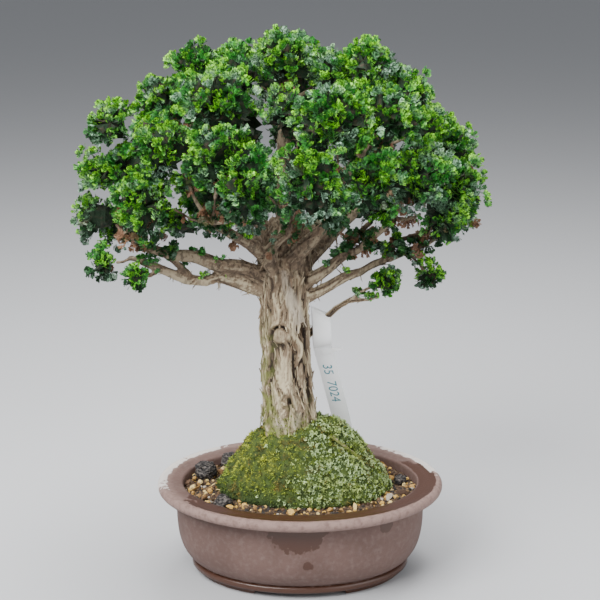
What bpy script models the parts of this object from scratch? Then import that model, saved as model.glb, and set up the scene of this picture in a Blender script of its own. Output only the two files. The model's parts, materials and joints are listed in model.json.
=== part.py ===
"""Hinoki cypress bonsai in an oval stoneware pot.

Sizes are in millimetres from the middle of the pot's foot, and turned to metres where a mesh is
made. +X is to the right and -Y is the front. An empty then moves the whole tree a little, so that
the origin is on the surface that the pot stands on, under the middle of the tree's full width.
"""

import math
import random

import bmesh
import bpy
from mathutils import Euler, Vector, noise

MM = 0.001
GAP = 0.4
STAND = Vector((20.5, -4.0, 0.0)) * MM

# Pot: half length and half width over the lip, and the lip's height
POT_HALF_LENGTH = 150.0
POT_HALF_WIDTH = 120.0
POT_HEIGHT = 100.0
POT_FLOOR_UNDER = 8.0
POT_FLOOR_TOP = 16.0
POT_SIDES = 36
FOOT_HEIGHT = 6.0
FOOT_GAP_FRONT = 100.0
FOOT_GAP_SIDE = 56.0
FOOT_GAP_SLANT = 5.0
DRAIN_X = 55.0
DRAIN_RADIUS = 10.0
NET_SIDE = 30.0
NET_THICKNESS = 1.2
NET_HOLES = 3
NET_BAR = 2.2

# Soil and moss
SOIL_LEVEL = 90.0
SOIL_WALL_TOP = 87.0
MOUND_CENTRE = Vector((4.0, -3.0, 0.0))
MOUND_HALF_LENGTH = 92.0
MOUND_HALF_WIDTH = 61.0
MOUND_RISE = 74.0
MOUND_SHOULDER = 0.3
MOUND_BULGE = 1.55
GRAIN_COUNT = 22
GRAIN_RADII = (3.0, 4.8)

# Wood
TRUNK_SIDES = 22
ROOT_SIDES = 5
FURROW = 0.075
KNOT_HEIGHT = 266.0
KNOT_SIDE = math.radians(-98)
KNOT_REACH = 5.0
TWIG_RADII = (3.2, 2.0)

# Foliage: lobed fans are raised from the faces of a small woody core
CORE_SHARE = 0.6
CORE_CHANGE = (0.84, 1.14)
OPEN_SHARE = 0.86
FAN_POINTS = {"front": 7, "crown": 7, "left": 7, "right": 7, "back": 5}
FAN_ENDS = (0.1, 0.9)
FAN_TIP = (0.93, 1.1)
FAN_NOTCH = (0.66, 0.76)
FAN_WAIST = 0.8
FAN_HALF_THICKNESS = 1.5

# Label
SLIT = Vector((23, 19, 240))
LABEL_RUN = Vector((25, 24, -103))
LABEL_WIDTH = 19.0
LABEL_THICKNESS = 0.8
LABEL_BELOW = 111.0
LOOP_HEIGHT = 44.0
LOOP_RUN = Vector((-0.04, -0.02, 1))
LOOP_DEPTH = 10.5
LOOP_STEPS = 14

TRUNK = [
    ((-8, 0, 52), 24), ((-9, 0, 92), 37), ((-9, 0, 125), 33), ((-10, 0, 155), 29),
    ((-12, 0, 190), 26), ((-14, 0, 225), 24.5), ((-15, 0, 252), 24.5), ((-16, 0, 266), 25),
    ((-17, 0, 280), 24.5), ((-17, 0, 300), 25),
    ((-16, 1, 320), 27), ((-14, 3, 350), 25), ((-13, 5, 378), 16),
]

# Each limb: points from the trunk's heart outwards, then its radius at both ends
LIMBS = {
    "left_low": ([(-16, -4, 300), (-51, -10, 312), (-70, -14, 320), (-84, -16, 323), (-95, -20, 320),
                  (-114, -26, 323), (-139, -32, 336), (-157, -32, 343), (-168, -31, 346)], (9.5, 3.0)),
    "left_low_fork": ([(-139, -32, 336), (-144, -34, 332), (-148, -36, 330)], (3.4, 2.4)),
    "left_mid": ([(-16, -2, 308), (-40, -8, 322), (-61, -12, 331), (-83, -20, 337), (-103, -28, 347),
                  (-124, -34, 351), (-148, -34, 356), (-171, -20, 366)], (13, 3.6)),
    "left_mid_fork": ([(-107, -23, 320), (-116, -28, 333), (-128, -34, 345), (-140, -36, 355)], (5.5, 3.0)),
    "left_front": ([(-14, -6, 322), (-33, -18, 343), (-49, -34, 361), (-67, -48, 375), (-86, -62, 389)],
                   (11, 3.8)),
    "left_up": ([(-16, 4, 335), (-48, 8, 385), (-84, 8, 428), (-112, 8, 462)], (10, 3.8)),
    "front": ([(-20, -14, 322), (-32, -24, 340), (-30, -30, 354), (-22, -34, 365), (-11, -36, 373),
               (-6, -42, 386), (-6, -66, 404)], (8.5, 3.4)),
    "leader": ([(-13, 4, 350), (-14, 6, 405), (-16, 3, 455), (-14, 0, 500)], (15, 4.5)),
    "right_front": ([(-12, -8, 322), (-6, -18, 344), (6, -24, 358), (18, -28, 371), (30, -38, 388),
                     (40, -58, 406)], (12.5, 4.2)),
    "right_up": ([(-8, 4, 338), (18, 8, 384), (50, 6, 430), (76, 8, 462)], (10, 3.8)),
    "right_mid": ([(-8, -2, 300), (8, -6, 316), (20, -9, 324), (29, -11, 331), (42, -14, 344),
                   (59, -18, 352), (67, -20, 362), (82, -24, 374), (93, -24, 385)], (8.5, 3.4)),
    "right_mid_fork": ([(43, -14, 345), (48, -16, 358), (57, -18, 368), (71, -22, 381)], (5.0, 3.0)),
    "right_low": ([(-8, 0, 284), (6, -2, 297), (27, -5, 309), (45, -8, 321), (62, -11, 328), (76, -14, 337),
                   (91, -14, 342), (106, -12, 349), (125, -8, 354), (139, -2, 362)], (7.6, 2.6)),
    "right_low_fork": ([(84, -14, 340), (91, -14, 351), (97, -12, 360), (109, -8, 362), (122, -2, 364),
                        (134, 4, 369)], (4.4, 2.8)),
    "right_low_end": ([(91, -15, 341), (106, -18, 348), (114, -19, 343), (121, -18, 335)], (3.0, 2.2)),
    "right_lowest": ([(-4, 8, 243), (11, 15, 255), (20, 16, 264), (28, 16, 272), (38, 14, 282), (51, 11, 291),
                      (62, 6, 301), (72, 0, 308)], (5.0, 2.6)),
    "right_lowest_fork": ([(50, 11, 290), (60, 8, 292), (71, 4, 294), (80, 0, 299)], (3.0, 2.2)),
    "back_left": ([(-16, 8, 316), (-48, 48, 348), (-84, 82, 384), (-104, 100, 412)], (10.5, 3.8)),
    "back": ([(-12, 8, 330), (-10, 58, 372), (-8, 100, 412)], (10.5, 3.8)),
    "back_right": ([(-8, 8, 318), (32, 44, 352), (72, 74, 386), (96, 92, 414)], (10.5, 3.8)),
}

# Buried roots, and the one whose back shows along the right of the mound
ROOTS = {
    "root_left": ([(-14, 0, 84), (-48, 8, 72), (-84, 16, 56)], (12, 5)),
    "root_front": ([(-8, -6, 82), (-22, -40, 68), (-34, -66, 52)], (11, 5)),
    "root_right": ([(0, 4, 84), (36, 20, 70), (72, 34, 54)], (12, 5)),
    "root_back": ([(-10, 6, 82), (-26, 38, 68), (-40, 62, 52)], (11, 5)),
    "root_surface": ([(4, -8, 142), (32, -24, 155), (62, -23, 131), (86, -16, 84)], (8, 5.5)),
}

# Each spray of foliage: its middle and its radius
SPRAYS = {
    "crown_top": ((-15, -4, 528), 43),
    "crown_top_left": ((-54, 6, 521), 40),
    "crown_left_tuft": ((-99, 8, 524), 35),
    "crown_top_right": ((28, 8, 518), 39),
    "crown_right_tuft": ((65, 8, 524), 35),
    "left_shoulder": ((-131, 8, 489), 40),
    "left_high_tip": ((-179, 6, 467), 35),
    "left_middle": ((-181, 4, 424), 44),
    "left_lower": ((-195, 2, 382), 36),
    "left_lower_tip": ((-187, 33, 368), 28),
    "left_hanging": ((-191, -34, 340), 19),
    "left_hanging_inner": ((-159, -42, 329), 17),
    "right_shoulder": ((96, 6, 492), 42),
    "right_high_tip": ((120, 0, 465), 35),
    "right_middle": ((142, 28, 440), 43),
    "right_far": ((149, -16, 411), 40),
    "right_lower": ((147, 23, 381), 35),
    "right_hanging": ((129, -14, 324), 18),
    "right_hanging_inner": ((84, -17, 320), 19),
    "right_small": ((80, -17, 353), 10),
    "front_upper_left": ((-80, -73, 498), 47),
    "front_left": ((-121, -70, 458), 47),
    "front_left_inner": ((-74, -105, 458), 47),
    "front_left_lower": ((-139, -68, 411), 44),
    "front_left_low": ((-95, -28, 402), 34),
    "front_middle_left": ((-43, -134, 441), 44),
    "front_middle": ((7, -138, 445), 47),
    "front_right_low": ((36, -84, 414), 28),
    "front_right_inner": ((62, -111, 443), 43),
    "front_right": ((105, -71, 437), 47),
    "front_right_lower": ((82, -58, 411), 32),
    "front_right_end": ((131, -44, 395), 34),
    "front_upper_middle": ((33, -108, 488), 46),
    "front_hollow": ((-12, -58, 494), 27),
    "front_upper_right": ((79, -74, 487), 43),
    "front_hanging": ((-48, -100, 410), 21),
    "left_underside": ((-121, -22, 377), 30),
    "back_upper_left": ((-88, 82, 495), 45),
    "back_upper": ((-14, 76, 517), 45),
    "back_upper_right": ((60, 82, 491), 45),
    "back_left": ((-139, 82, 441), 45),
    "back_left_inner": ((-72, 136, 445), 45),
    "back_middle": ((0, 146, 449), 47),
    "back_right_inner": ((72, 129, 439), 45),
    "back_right": ((127, 90, 445), 43),
    "back_left_lower": ((-102, 115, 392), 36),
    "back_lower": ((-24, 137, 394), 37),
    "back_right_lower": ((60, 109, 390), 34),
}

# Dark clods of peat and charred bark lying on the soil: middle on the plan, radius, height
CLODS = {
    "clod_left": ((-101, 27), 13.5, 19),
    "clod_back_left": ((-77, 58), 11, 17),
    "clod_front_left": ((-79, -52), 11, 13),
    "clod_right": ((106, 8), 7.5, 11),
}

COLOURS = {
    "stoneware": ("#6E5750", 0.62),
    "soil": ("#3A2C22", 0.95),
    "moss": ("#6F7F33", 0.95),
    "bark": ("#7C6A59", 0.92),
    "foliage": ("#2C7A35", 0.7),
    "clod": ("#2B2A2B", 0.95),
    "label": ("#ECEEF0", 0.45),
    "net": ("#1D1E1F", 0.6),
}


def clear_scene():
    for obj in list(bpy.data.objects):
        bpy.data.objects.remove(obj)


def finish(name):
    """The Principled material of one kind of piece."""
    material = bpy.data.materials.get(name)
    if material:
        return material
    hexa, roughness = COLOURS[name]
    material = bpy.data.materials.new(name)
    material.use_nodes = True
    linear = []
    for start in (1, 3, 5):
        share = int(hexa[start:start + 2], 16) / 255
        linear.append(share / 12.92 if share <= 0.04045 else ((share + 0.055) / 1.055) ** 2.4)
    shader = material.node_tree.nodes["Principled BSDF"]
    shader.inputs["Base Color"].default_value = (*linear, 1.0)
    shader.inputs["Roughness"].default_value = roughness
    shader.inputs["Metallic"].default_value = 0.0
    return material


def solid(name, points, faces, look, smooth=True):
    """A mesh object in metres from points in millimetres, its faces turned outwards."""
    mesh = bpy.data.meshes.new(name)
    mesh.from_pydata([Vector(p) * MM for p in points], [], faces)
    shape = bmesh.new()
    shape.from_mesh(mesh)
    bmesh.ops.recalc_face_normals(shape, faces=shape.faces)
    if shape.calc_volume(signed=True) < 0:
        bmesh.ops.reverse_faces(shape, faces=shape.faces)
    shape.to_mesh(mesh)
    shape.free()
    if smooth:
        mesh.shade_smooth()
        mesh.set_sharp_from_angle(angle=math.radians(35))
    mesh.materials.append(finish(look))
    obj = bpy.data.objects.new(name, mesh)
    bpy.context.scene.collection.objects.link(obj)
    return obj


def apply_boolean(target, others, operation, solver="EXACT"):
    """Joins or cuts target with a collection of others, applies it and removes them."""
    group = bpy.data.collections.new("operands")
    bpy.context.scene.collection.children.link(group)
    for other in others:
        group.objects.link(other)
    modifier = target.modifiers.new("join", "BOOLEAN")
    modifier.operand_type = "COLLECTION"
    modifier.collection = group
    modifier.operation = operation
    modifier.solver = solver
    evaluated = target.evaluated_get(bpy.context.evaluated_depsgraph_get())
    made = bpy.data.meshes.new_from_object(evaluated)
    target.modifiers.clear()
    target.data = made
    for other in others:
        bpy.data.objects.remove(other)
    bpy.data.collections.remove(group)
    return target


def strip(first, second):
    """Quads between two equal closed rings of indices."""
    count = len(first)
    return [(first[i], first[(i + 1) % count], second[(i + 1) % count], second[i]) for i in range(count)]


def rings_to_mesh(rings, start_cap=None, end_cap=None):
    """Closed surface through rings of points, each end shut by a flat face or a fan to a point."""
    points = [p for ring in rings for p in ring]
    count = len(rings[0])
    index = [list(range(k * count, (k + 1) * count)) for k in range(len(rings))]
    faces = [quad for k in range(len(rings) - 1) for quad in strip(index[k], index[k + 1])]
    for ring, cap in ((index[0], start_cap), (index[-1], end_cap)):
        if cap is None:
            faces.append(tuple(ring))
            continue
        points.append(cap)
        faces += [(ring[i], ring[(i + 1) % count], len(points) - 1) for i in range(count)]
    return points, faces


def oval(inset, height, sides=POT_SIDES):
    """A ring of the pot's oval, drawn in from the lip's edge."""
    return [
        Vector((
            (POT_HALF_LENGTH - inset) * math.cos(2 * math.pi * i / sides),
            (POT_HALF_WIDTH - inset) * math.sin(2 * math.pi * i / sides),
            height,
        ))
        for i in range(sides)
    ]


def smooth_path(points, steps):
    """Catmull-Rom curve through the points, with this many steps in each stretch."""
    p = [Vector(q) for q in points]
    p = [2 * p[0] - p[1], *p, 2 * p[-1] - p[-2]]
    path = []
    for k in range(1, len(p) - 2):
        for s in range(steps):
            t = s / steps
            path.append(0.5 * (
                2 * p[k] + (p[k + 1] - p[k - 1]) * t
                + (2 * p[k - 1] - 5 * p[k] + 4 * p[k + 1] - p[k + 2]) * t * t
                + (3 * p[k] - p[k - 1] - 3 * p[k + 1] + p[k + 2]) * t ** 3
            ))
    path.append(p[-2])
    return path


def tube_rings(path, radii, sides, bark=0.0, swell=0.0):
    """Rings round a path; bark gives the share by which the ridges stand out of the furrows."""
    rings = []
    side = (path[1] - path[0]).cross(Vector((0.3, 1.0, 0.2))).normalized()
    for k, centre in enumerate(path):
        ahead = (path[min(k + 1, len(path) - 1)] - path[max(k - 1, 0)]).normalized()
        side = (side - ahead * side.dot(ahead)).normalized()
        other = ahead.cross(side)
        ring = []
        for i in range(sides):
            angle = 2 * math.pi * i / sides
            ridge = bark * (1 if i % 2 else -1) * (0.6 + 0.8 * noise.noise(Vector((i * 1.7, k * 0.45, 3.1))))
            radius = radii[k] * (1 + ridge) + swell
            ring.append(centre + (side * math.cos(angle) + other * math.sin(angle)) * radius)
        rings.append(ring)
    return rings


def graded(count, ends):
    return [ends[0] + (ends[1] - ends[0]) * (k / (count - 1)) ** 0.8 for k in range(count)]


def pot():
    """Oval vessel with a flat lip and rounded edge, a belt, four cut feet and two drain holes."""
    profile = [
        (52, POT_FLOOR_UNDER), (48.5, POT_FLOOR_UNDER), (48, 0), (41.5, 0), (40.5, FOOT_HEIGHT),
        (35.4, 7.0), (35.0, 12.6), (38.0, 13.8), (31.5, 19.5), (25.0, 30), (21.0, 45), (19.5, 66),
        (20.4, 88), (7.5, 88.4), (2.3, 90.2), (0, 94.2), (2.1, 98.2), (5.6, POT_HEIGHT), (8.2, 99.1),
        (24.8, 98.3), (26.6, 96.8), (28, 42), (34.5, 24), (46, POT_FLOOR_TOP), (52, POT_FLOOR_TOP),
    ]
    rings = [oval(inset, height) for inset, height in profile]
    body = solid(
        "pot", *rings_to_mesh(rings, Vector((0, 0, POT_FLOOR_UNDER)), Vector((0, 0, POT_FLOOR_TOP))),
        "stoneware",
    )
    cutters = [foot_gap("foot_gap_front", FOOT_GAP_FRONT, 2 * POT_HALF_WIDTH, False)]
    cutters.append(foot_gap("foot_gap_side", FOOT_GAP_SIDE, 2 * POT_HALF_LENGTH, True))
    for x in (-DRAIN_X, DRAIN_X):
        path = [Vector((x, 0, POT_FLOOR_UNDER - 4)), Vector((x, 0, POT_FLOOR_TOP + 4))]
        rings = tube_rings(path, [DRAIN_RADIUS] * 2, 16)
        cutters.append(solid("drain", *rings_to_mesh(rings), "stoneware", False))
    return apply_boolean(body, cutters, "DIFFERENCE")


def foot_gap(name, width, reach, along_x):
    """Cutter with slanted ends that leaves the feet standing on both sides of a gap."""
    half, top = width / 2, FOOT_HEIGHT
    section = [(-half, -3), (half, -3), (half - FOOT_GAP_SLANT, top), (-half + FOOT_GAP_SLANT, top)]
    ends = []
    for across in (-reach, reach):
        ends.append([Vector((across, u, v)) if along_x else Vector((u, across, v)) for u, v in section])
    return solid(name, *rings_to_mesh(ends), "stoneware", False)


def drain_net(name, x):
    """Square of plastic netting that keeps the soil from falling through a drain hole."""
    low, high = POT_FLOOR_TOP + GAP, POT_FLOOR_TOP + GAP + NET_THICKNESS
    half = NET_SIDE / 2
    pitch = (NET_SIDE - NET_BAR) / NET_HOLES
    base = box(name, (x - half, -half, low), (x + half, half, high), "net")
    holes = []
    for i in range(NET_HOLES):
        for j in range(NET_HOLES):
            corner = Vector((x - half + NET_BAR + i * pitch, -half + NET_BAR + j * pitch, low - 1))
            size = Vector((pitch - NET_BAR, pitch - NET_BAR, NET_THICKNESS + 2))
            holes.append(box("mesh_hole", corner, corner + size, "net"))
    return apply_boolean(base, holes, "DIFFERENCE")


def box(name, low, high, look):
    ends = [
        [Vector((low[0], low[1], z)), Vector((high[0], low[1], z)),
         Vector((high[0], high[1], z)), Vector((low[0], high[1], z))]
        for z in (low[2], high[2])
    ]
    return solid(name, *rings_to_mesh(ends), look, False)


def mound_share(point):
    """0 at the mound's middle and 1 at its foot."""
    return math.hypot(
        (point[0] - MOUND_CENTRE.x) / MOUND_HALF_LENGTH, (point[1] - MOUND_CENTRE.y) / MOUND_HALF_WIDTH
    )


def soil(stump_cutters):
    """Substrate that fills the pot, with coarse grains over its rough top, cut for stump and roots."""
    profile = [(52, 16.5), (46.8, 16.6), (35.4, 24.4), (28.6, 42.2), (28.2, SOIL_WALL_TOP)]
    rings = [oval(inset, height) for inset, height in profile]
    for inset in (31, 40, 54, 80):
        ring = oval(inset, SOIL_LEVEL)
        for p in ring:
            if mound_share(p) > 1.15:
                p.z += 1.6 * noise.noise(p * 0.13) + 0.9 * noise.noise(p * 0.4)
        rings.append(ring)
    body = solid("soil", *rings_to_mesh(rings, Vector((0, 0, 16.5)), Vector((0, 0, SOIL_LEVEL))), "soil", False)
    half = NET_SIDE / 2 + GAP
    top = POT_FLOOR_TOP + NET_THICKNESS + 2 * GAP + GAP
    pockets = [box("pocket", (x - half, -half, 10), (x + half, half, top), "soil") for x in (-DRAIN_X, DRAIN_X)]
    seats = [clod_seat(middle, radius) for middle, radius, height in CLODS.values()]
    apply_boolean(body, pockets + seats, "DIFFERENCE")
    apply_boolean(body, grains(), "UNION")
    return apply_boolean(body, stump_cutters, "DIFFERENCE")


def clod_seat(middle, radius):
    """Cutter that levels the soil where a clod lies."""
    low = SOIL_LEVEL - 0.8
    rings = [
        [Vector((middle[0] + (radius + 1.6) * math.cos(a), middle[1] + (radius + 1.6) * math.sin(a), z))
         for a in [2 * math.pi * i / 8 for i in range(8)]]
        for z in (low, low + 12)
    ]
    return solid("seat", *rings_to_mesh(rings), "soil", False)


def nugget(name, centre, radius, look, chance, squash=0.8):
    """Irregular broken grain with twenty faces."""
    shape = bmesh.new()
    bmesh.ops.create_icosphere(shape, subdivisions=1, radius=radius)
    points = [v.co * chance.uniform(0.82, 1.14) for v in shape.verts]
    faces = [tuple(v.index for v in f.verts) for f in shape.faces]
    shape.free()
    return solid(name, [centre + Vector((p.x, p.y, p.z * squash)) for p in points], faces, look, False)


def grains():
    """Grains of pumice and fired clay half sunk in the soil between the mound and the pot's wall."""
    chance = random.Random(11)
    found = []
    while len(found) < GRAIN_COUNT:
        angle, inset = chance.uniform(0, 2 * math.pi), chance.uniform(35, 62)
        radius = chance.uniform(*GRAIN_RADII)
        place = Vector((
            (POT_HALF_LENGTH - inset) * math.cos(angle), (POT_HALF_WIDTH - inset) * math.sin(angle),
            SOIL_LEVEL + 0.3 * radius,
        ))
        apart = all((place - p).length > 1.1 * (radius + r) for p, r in found)
        off_clods = all(
            math.hypot(place.x - m[0], place.y - m[1]) > 1.2 * c + radius + 1 for m, c, h in CLODS.values()
        )
        if apart and off_clods and mound_share(place) > 1.02 + 1.3 * radius / MOUND_HALF_WIDTH:
            found.append((place, radius))
    return [nugget("grain", place, radius, "soil", chance) for place, radius in found]


def clod(name, middle, radius, height):
    """Lump of peat and bark with a flat underside."""
    chance = random.Random(name)
    shape = bmesh.new()
    bmesh.ops.create_icosphere(shape, subdivisions=2, radius=1)
    base = SOIL_LEVEL - 0.8 + GAP
    points = []
    for v in shape.verts:
        p = v.co * (0.86 + 0.2 * noise.noise(v.co * 2.3 + Vector((radius, height, 0))) + chance.uniform(-0.07, 0.07))
        points.append(Vector((
            middle[0] + p.x * radius, middle[1] + p.y * radius, base + max(0.0, (p.z + 0.35) * height / 1.25),
        )))
    faces = [tuple(v.index for v in f.verts) for f in shape.faces]
    shape.free()
    lump = solid(name, points, faces, "clod", False)
    under = box("under", (middle[0] - 30, middle[1] - 30, base - 9), (middle[0] + 30, middle[1] + 30, base + 0.6), "clod")
    return apply_boolean(lump, [under], "DIFFERENCE")


def moss(stump_cutters):
    """Cushion of moss over the foot of the trunk: tufts raised on a cone by a formula."""
    sides, steps = 30, 8
    base = [
        MOUND_CENTRE + Vector((
            MOUND_HALF_LENGTH * math.cos(2 * math.pi * i / sides),
            MOUND_HALF_WIDTH * math.sin(2 * math.pi * i / sides), SOIL_LEVEL + GAP,
        ))
        for i in range(sides)
    ]
    rings = [base]
    for k in range(steps):
        share = 1 - 0.86 * k / steps
        ring = []
        for i in range(sides):
            angle = 2 * math.pi * (i + 0.5 * (k % 2)) / sides
            p = MOUND_CENTRE + Vector((
                MOUND_HALF_LENGTH * share * math.cos(angle), MOUND_HALF_WIDTH * share * math.sin(angle), 0,
            ))
            fall = max(0.0, (share - MOUND_SHOULDER) / (1 - MOUND_SHOULDER))
            edge = min(1.0, 4 * (1 - share))
            tuft = 2.4 * noise.noise(p * 0.06) + 2.6 * noise.noise(p * 0.31 + Vector((0, 0, k * 0.9)))
            p.z = SOIL_LEVEL + GAP + 2.2 + MOUND_RISE * (1 - fall ** MOUND_BULGE) + edge * tuft
            ring.append(p)
        rings.append(ring)
    top = MOUND_CENTRE + Vector((0, 0, SOIL_LEVEL + MOUND_RISE))
    bottom = MOUND_CENTRE + Vector((0, 0, SOIL_LEVEL + GAP))
    body = solid("moss_mound", *rings_to_mesh(rings, bottom, top), "moss", False)
    return apply_boolean(body, stump_cutters, "DIFFERENCE")


def trunk_rings(swell=0.0, top=len(TRUNK)):
    """Trunk with long furrows between its ridges, a flared foot and an old pruning scar."""
    path = smooth_path([p for p, r in TRUNK[:top]], 1)
    radii = [r for p, r in TRUNK[:top]]
    rings = tube_rings(path, radii, TRUNK_SIDES, FURROW, swell)
    scar = Vector((math.cos(KNOT_SIDE), math.sin(KNOT_SIDE), 0))
    for ring in rings:
        centre = sum(ring, Vector()) / len(ring)
        for p in ring:
            out = p - centre
            near = max(0.0, out.normalized().dot(scar)) ** 14
            level = math.exp(-((p.z - KNOT_HEIGHT) / 13) ** 2)
            p += out.normalized() * KNOT_REACH * near * level
    return rings


def limb_rings(points, ends, sides, bark=0.07, swell=0.0, steps=2):
    path = smooth_path(points, 1 if len(points) > 5 else steps)
    radii = graded(len(path), ends)
    return tube_rings(path, radii, sides, bark, swell)


def stump_cutters():
    """The part of trunk and roots that stands in moss and soil, drawn larger by the gap."""
    swell = GAP + 0.25
    rings = trunk_rings(swell, 6)
    rings[0] = [p - Vector((0, 0, swell)) for p in rings[0]]
    pieces = [solid("stump", *rings_to_mesh(rings), "bark", False)]
    for name, (points, ends) in ROOTS.items():
        first, last = Vector(points[-2]), Vector(points[-1])
        longer = points[:-1] + [tuple(last + (last - first).normalized() * swell)]
        rings = limb_rings(longer, ends, ROOT_SIDES, 0.0, swell, 1)
        pieces.append(solid(name, *rings_to_mesh(rings), "bark", False))
    return pieces


def nearest_on_limbs(place, paths):
    """Point of the limbs that a twig to this spray grows from: near, and lower than the spray."""
    best, found = None, None
    for path in paths.values():
        for k, p in enumerate(path):
            if k < len(path) // 3:
                continue
            cost = (place - p).length + 1.2 * max(0.0, p.z - place.z + 12)
            if best is None or cost < best:
                best, found = cost, p
    return found


def twig_paths():
    """For each spray, the path of the twig that carries it; it stops inside the spray's near side."""
    paths = {name: smooth_path(points, 3) for name, (points, ends) in LIMBS.items()}
    twigs = {}
    for name, (middle, radius) in SPRAYS.items():
        place = Vector(middle)
        start = nearest_on_limbs(place, paths)
        end = place - (place - start).normalized() * 0.42 * radius
        bend = (start + end) / 2 + Vector((0, 0, -0.1)) * (end - start).length
        twigs[name] = [start, bend, end]
    return twigs


def wood(twigs):
    """Trunk, limbs, twigs and roots: one grown piece."""
    body = solid("trunk_and_limbs", *rings_to_mesh(trunk_rings()), "bark", False)
    parts = []
    for name, (points, ends) in LIMBS.items():
        sides = 7 if ends[0] > 9 else 6 if ends[0] > 5.5 else 5
        rings = limb_rings(points, ends, sides)
        parts.append(solid(name, *rings_to_mesh(rings), "bark", False))
    for name, (points, ends) in ROOTS.items():
        rings = limb_rings(points, ends, ROOT_SIDES, 0.0, 0.0, 1)
        parts.append(solid(name, *rings_to_mesh(rings), "bark", False))
    for name, path in twigs.items():
        rings = tube_rings(path, graded(len(path), TWIG_RADII), 4)
        parts.append(solid("twig_" + name, *rings_to_mesh(rings), "bark", False))
    return apply_boolean(body, parts, "UNION")


def room_of(name, twigs):
    """Planes that a spray stays behind: half way to each neighbour, and clear of the wood."""
    centre, radius = Vector(SPRAYS[name][0]), SPRAYS[name][1]
    planes = []
    for other, (middle, size) in SPRAYS.items():
        between = Vector(middle) - centre
        span = between.length
        if other == name or span > 1.5 * (radius + size):
            continue
        share = (span ** 2 + radius ** 2 - size ** 2) / (2 * span ** 2)
        planes.append((between / span, span * min(0.8, max(0.2, share)) - GAP / 2))
    stretches = []
    for points, ends in LIMBS.values():
        path = smooth_path(points, 2)
        radii = graded(len(path), ends)
        stretches += [(path[k], path[k + 1], 1.13 * radii[k]) for k in range(len(path) - 1)]
    for path in twigs.values():
        stretches += [(path[k], path[k + 1], TWIG_RADII[0]) for k in range(len(path) - 1)]
    for a, b, thick in stretches:
        along = b - a
        t = max(0.0, min(1.0, (centre - a).dot(along) / along.length_squared))
        away = a + along * t - centre
        if away.length < 1.6 * radius:
            planes.append((away.normalized(), away.length - thick - GAP))
    return centre, planes


def held_in(point, centre, planes, ease=1.0):
    """The point, drawn towards the spray's middle until it is inside its own share of the room."""
    out = point - centre
    share = 1.0
    for normal, reach in planes:
        ahead = out.dot(normal)
        if ahead > reach * ease:
            share = min(share, reach * ease / ahead)
    return centre + out * share


def spray(name, twigs):
    """Core of twigs and inner leaves with a lobed fan raised from each of its open faces."""
    chance = random.Random(name)
    centre, planes = room_of(name, twigs)
    radius = SPRAYS[name][1]
    shape = bmesh.new()
    bmesh.ops.create_icosphere(shape, subdivisions=1, radius=1)
    turn = Euler([chance.uniform(0, 2 * math.pi) for axis in range(3)])
    rays = [(turn.to_matrix() @ v.co).normalized() for v in shape.verts]
    corners = [[v.index for v in f.verts] for f in shape.faces]
    shape.free()
    points = [ray * CORE_SHARE * radius * chance.uniform(*CORE_CHANGE) for ray in rays]
    faces = []
    for a, b, c in corners:
        ahead = (rays[a] + rays[b] + rays[c]).normalized() * radius
        if (held_in(centre + ahead, centre, planes) - centre).length < OPEN_SHARE * radius:
            faces.append((a, b, c))
            continue
        for k in range(chance.randrange(3)):
            a, b, c = b, c, a
        raise_fan(points, faces, (a, b, c), rays, radius, chance, FAN_POINTS[name.split("_")[0]])
    return solid("spray_" + name, [held_in(centre + p, centre, planes) for p in points], faces, "foliage", False)


def raise_fan(points, faces, corner, rays, radius, chance, count):
    """Thin lobed fan of scale leaves on one face of the core, standing along a line from one corner."""
    a, b, c = corner
    far = (rays[b] + rays[c]).normalized()
    crest = []
    for k in range(count):
        share = FAN_ENDS[0] + (FAN_ENDS[1] - FAN_ENDS[0]) * k / (count - 1)
        ray = rays[a].slerp(far, share)
        reach = radius * chance.uniform(*(FAN_NOTCH if k % 2 else FAN_TIP))
        crest.append(len(points))
        points.append(ray * reach)
    middle = rays[a].slerp(far, 0.5) * FAN_WAIST * radius
    side = (rays[b] - rays[c]).normalized() * FAN_HALF_THICKNESS
    for foot, waist in ((b, middle + side), (c, middle - side)):
        hub = len(points)
        points.append(waist)
        outline = [a, *crest, foot]
        faces += [(hub, outline[k - 1], outline[k]) for k in range(len(outline))]
    faces.append((crest[-1], b, c))


def label():
    """Blank plastic plant label: its head loops over the lowest right limb, and its point is in the slit."""
    down = LABEL_RUN.normalized()
    front = (Vector((0, -1, 0)) + down * down.y).normalized()
    across = front.cross(down).normalized()
    line = [(-LABEL_BELOW, 0.0), (-3.5, 0.0)]
    for k in range(1, LOOP_STEPS):
        turn = 2 * math.pi * k / LOOP_STEPS
        line.append((LOOP_HEIGHT * (1 - math.cos(turn)) / 2, LOOP_DEPTH * math.sin(turn)))
    line.append((0.4, -2 * LABEL_THICKNESS))
    strip = strip_solid(down, front, across, line)
    half = LABEL_WIDTH / 2
    outline = [(-0.2 * half, -3.4), (half, -2.6), (2.1 * half, 0.6), (half, 3.0), (-0.2 * half, 3.4)]
    ends = [
        [SLIT + across * u - down * (v - 8.0) + front * (depth + 0.12 * max(0.0, u)) for u, v in outline]
        for depth in (0.1, LABEL_THICKNESS + 0.2)
    ]
    point = solid("label_point", *rings_to_mesh(ends), "label", False)
    return apply_boolean(strip, [point], "UNION")


def strip_solid(down, front, across, line):
    """Bends the label along a line of (height above the slit, distance to the front)."""
    rings = []
    for k, (height, depth) in enumerate(line):
        before, after = line[max(k - 1, 0)], line[min(k + 1, len(line) - 1)]
        run = Vector((after[0] - before[0], after[1] - before[1])).normalized()
        off = Vector((-run.y, run.x)) * LABEL_THICKNESS / 2
        ring = []
        for side, face in ((-1, -1), (1, -1), (1, 1), (-1, 1)):
            rise = LOOP_RUN if height > 0 else -down
            place = SLIT + rise * (height + face * off.x) + front * (depth + face * off.y)
            ring.append(place + across * side * LABEL_WIDTH / 2)
        rings.append(ring)
    return solid("plant_label", *rings_to_mesh(rings), "label", False)


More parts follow.
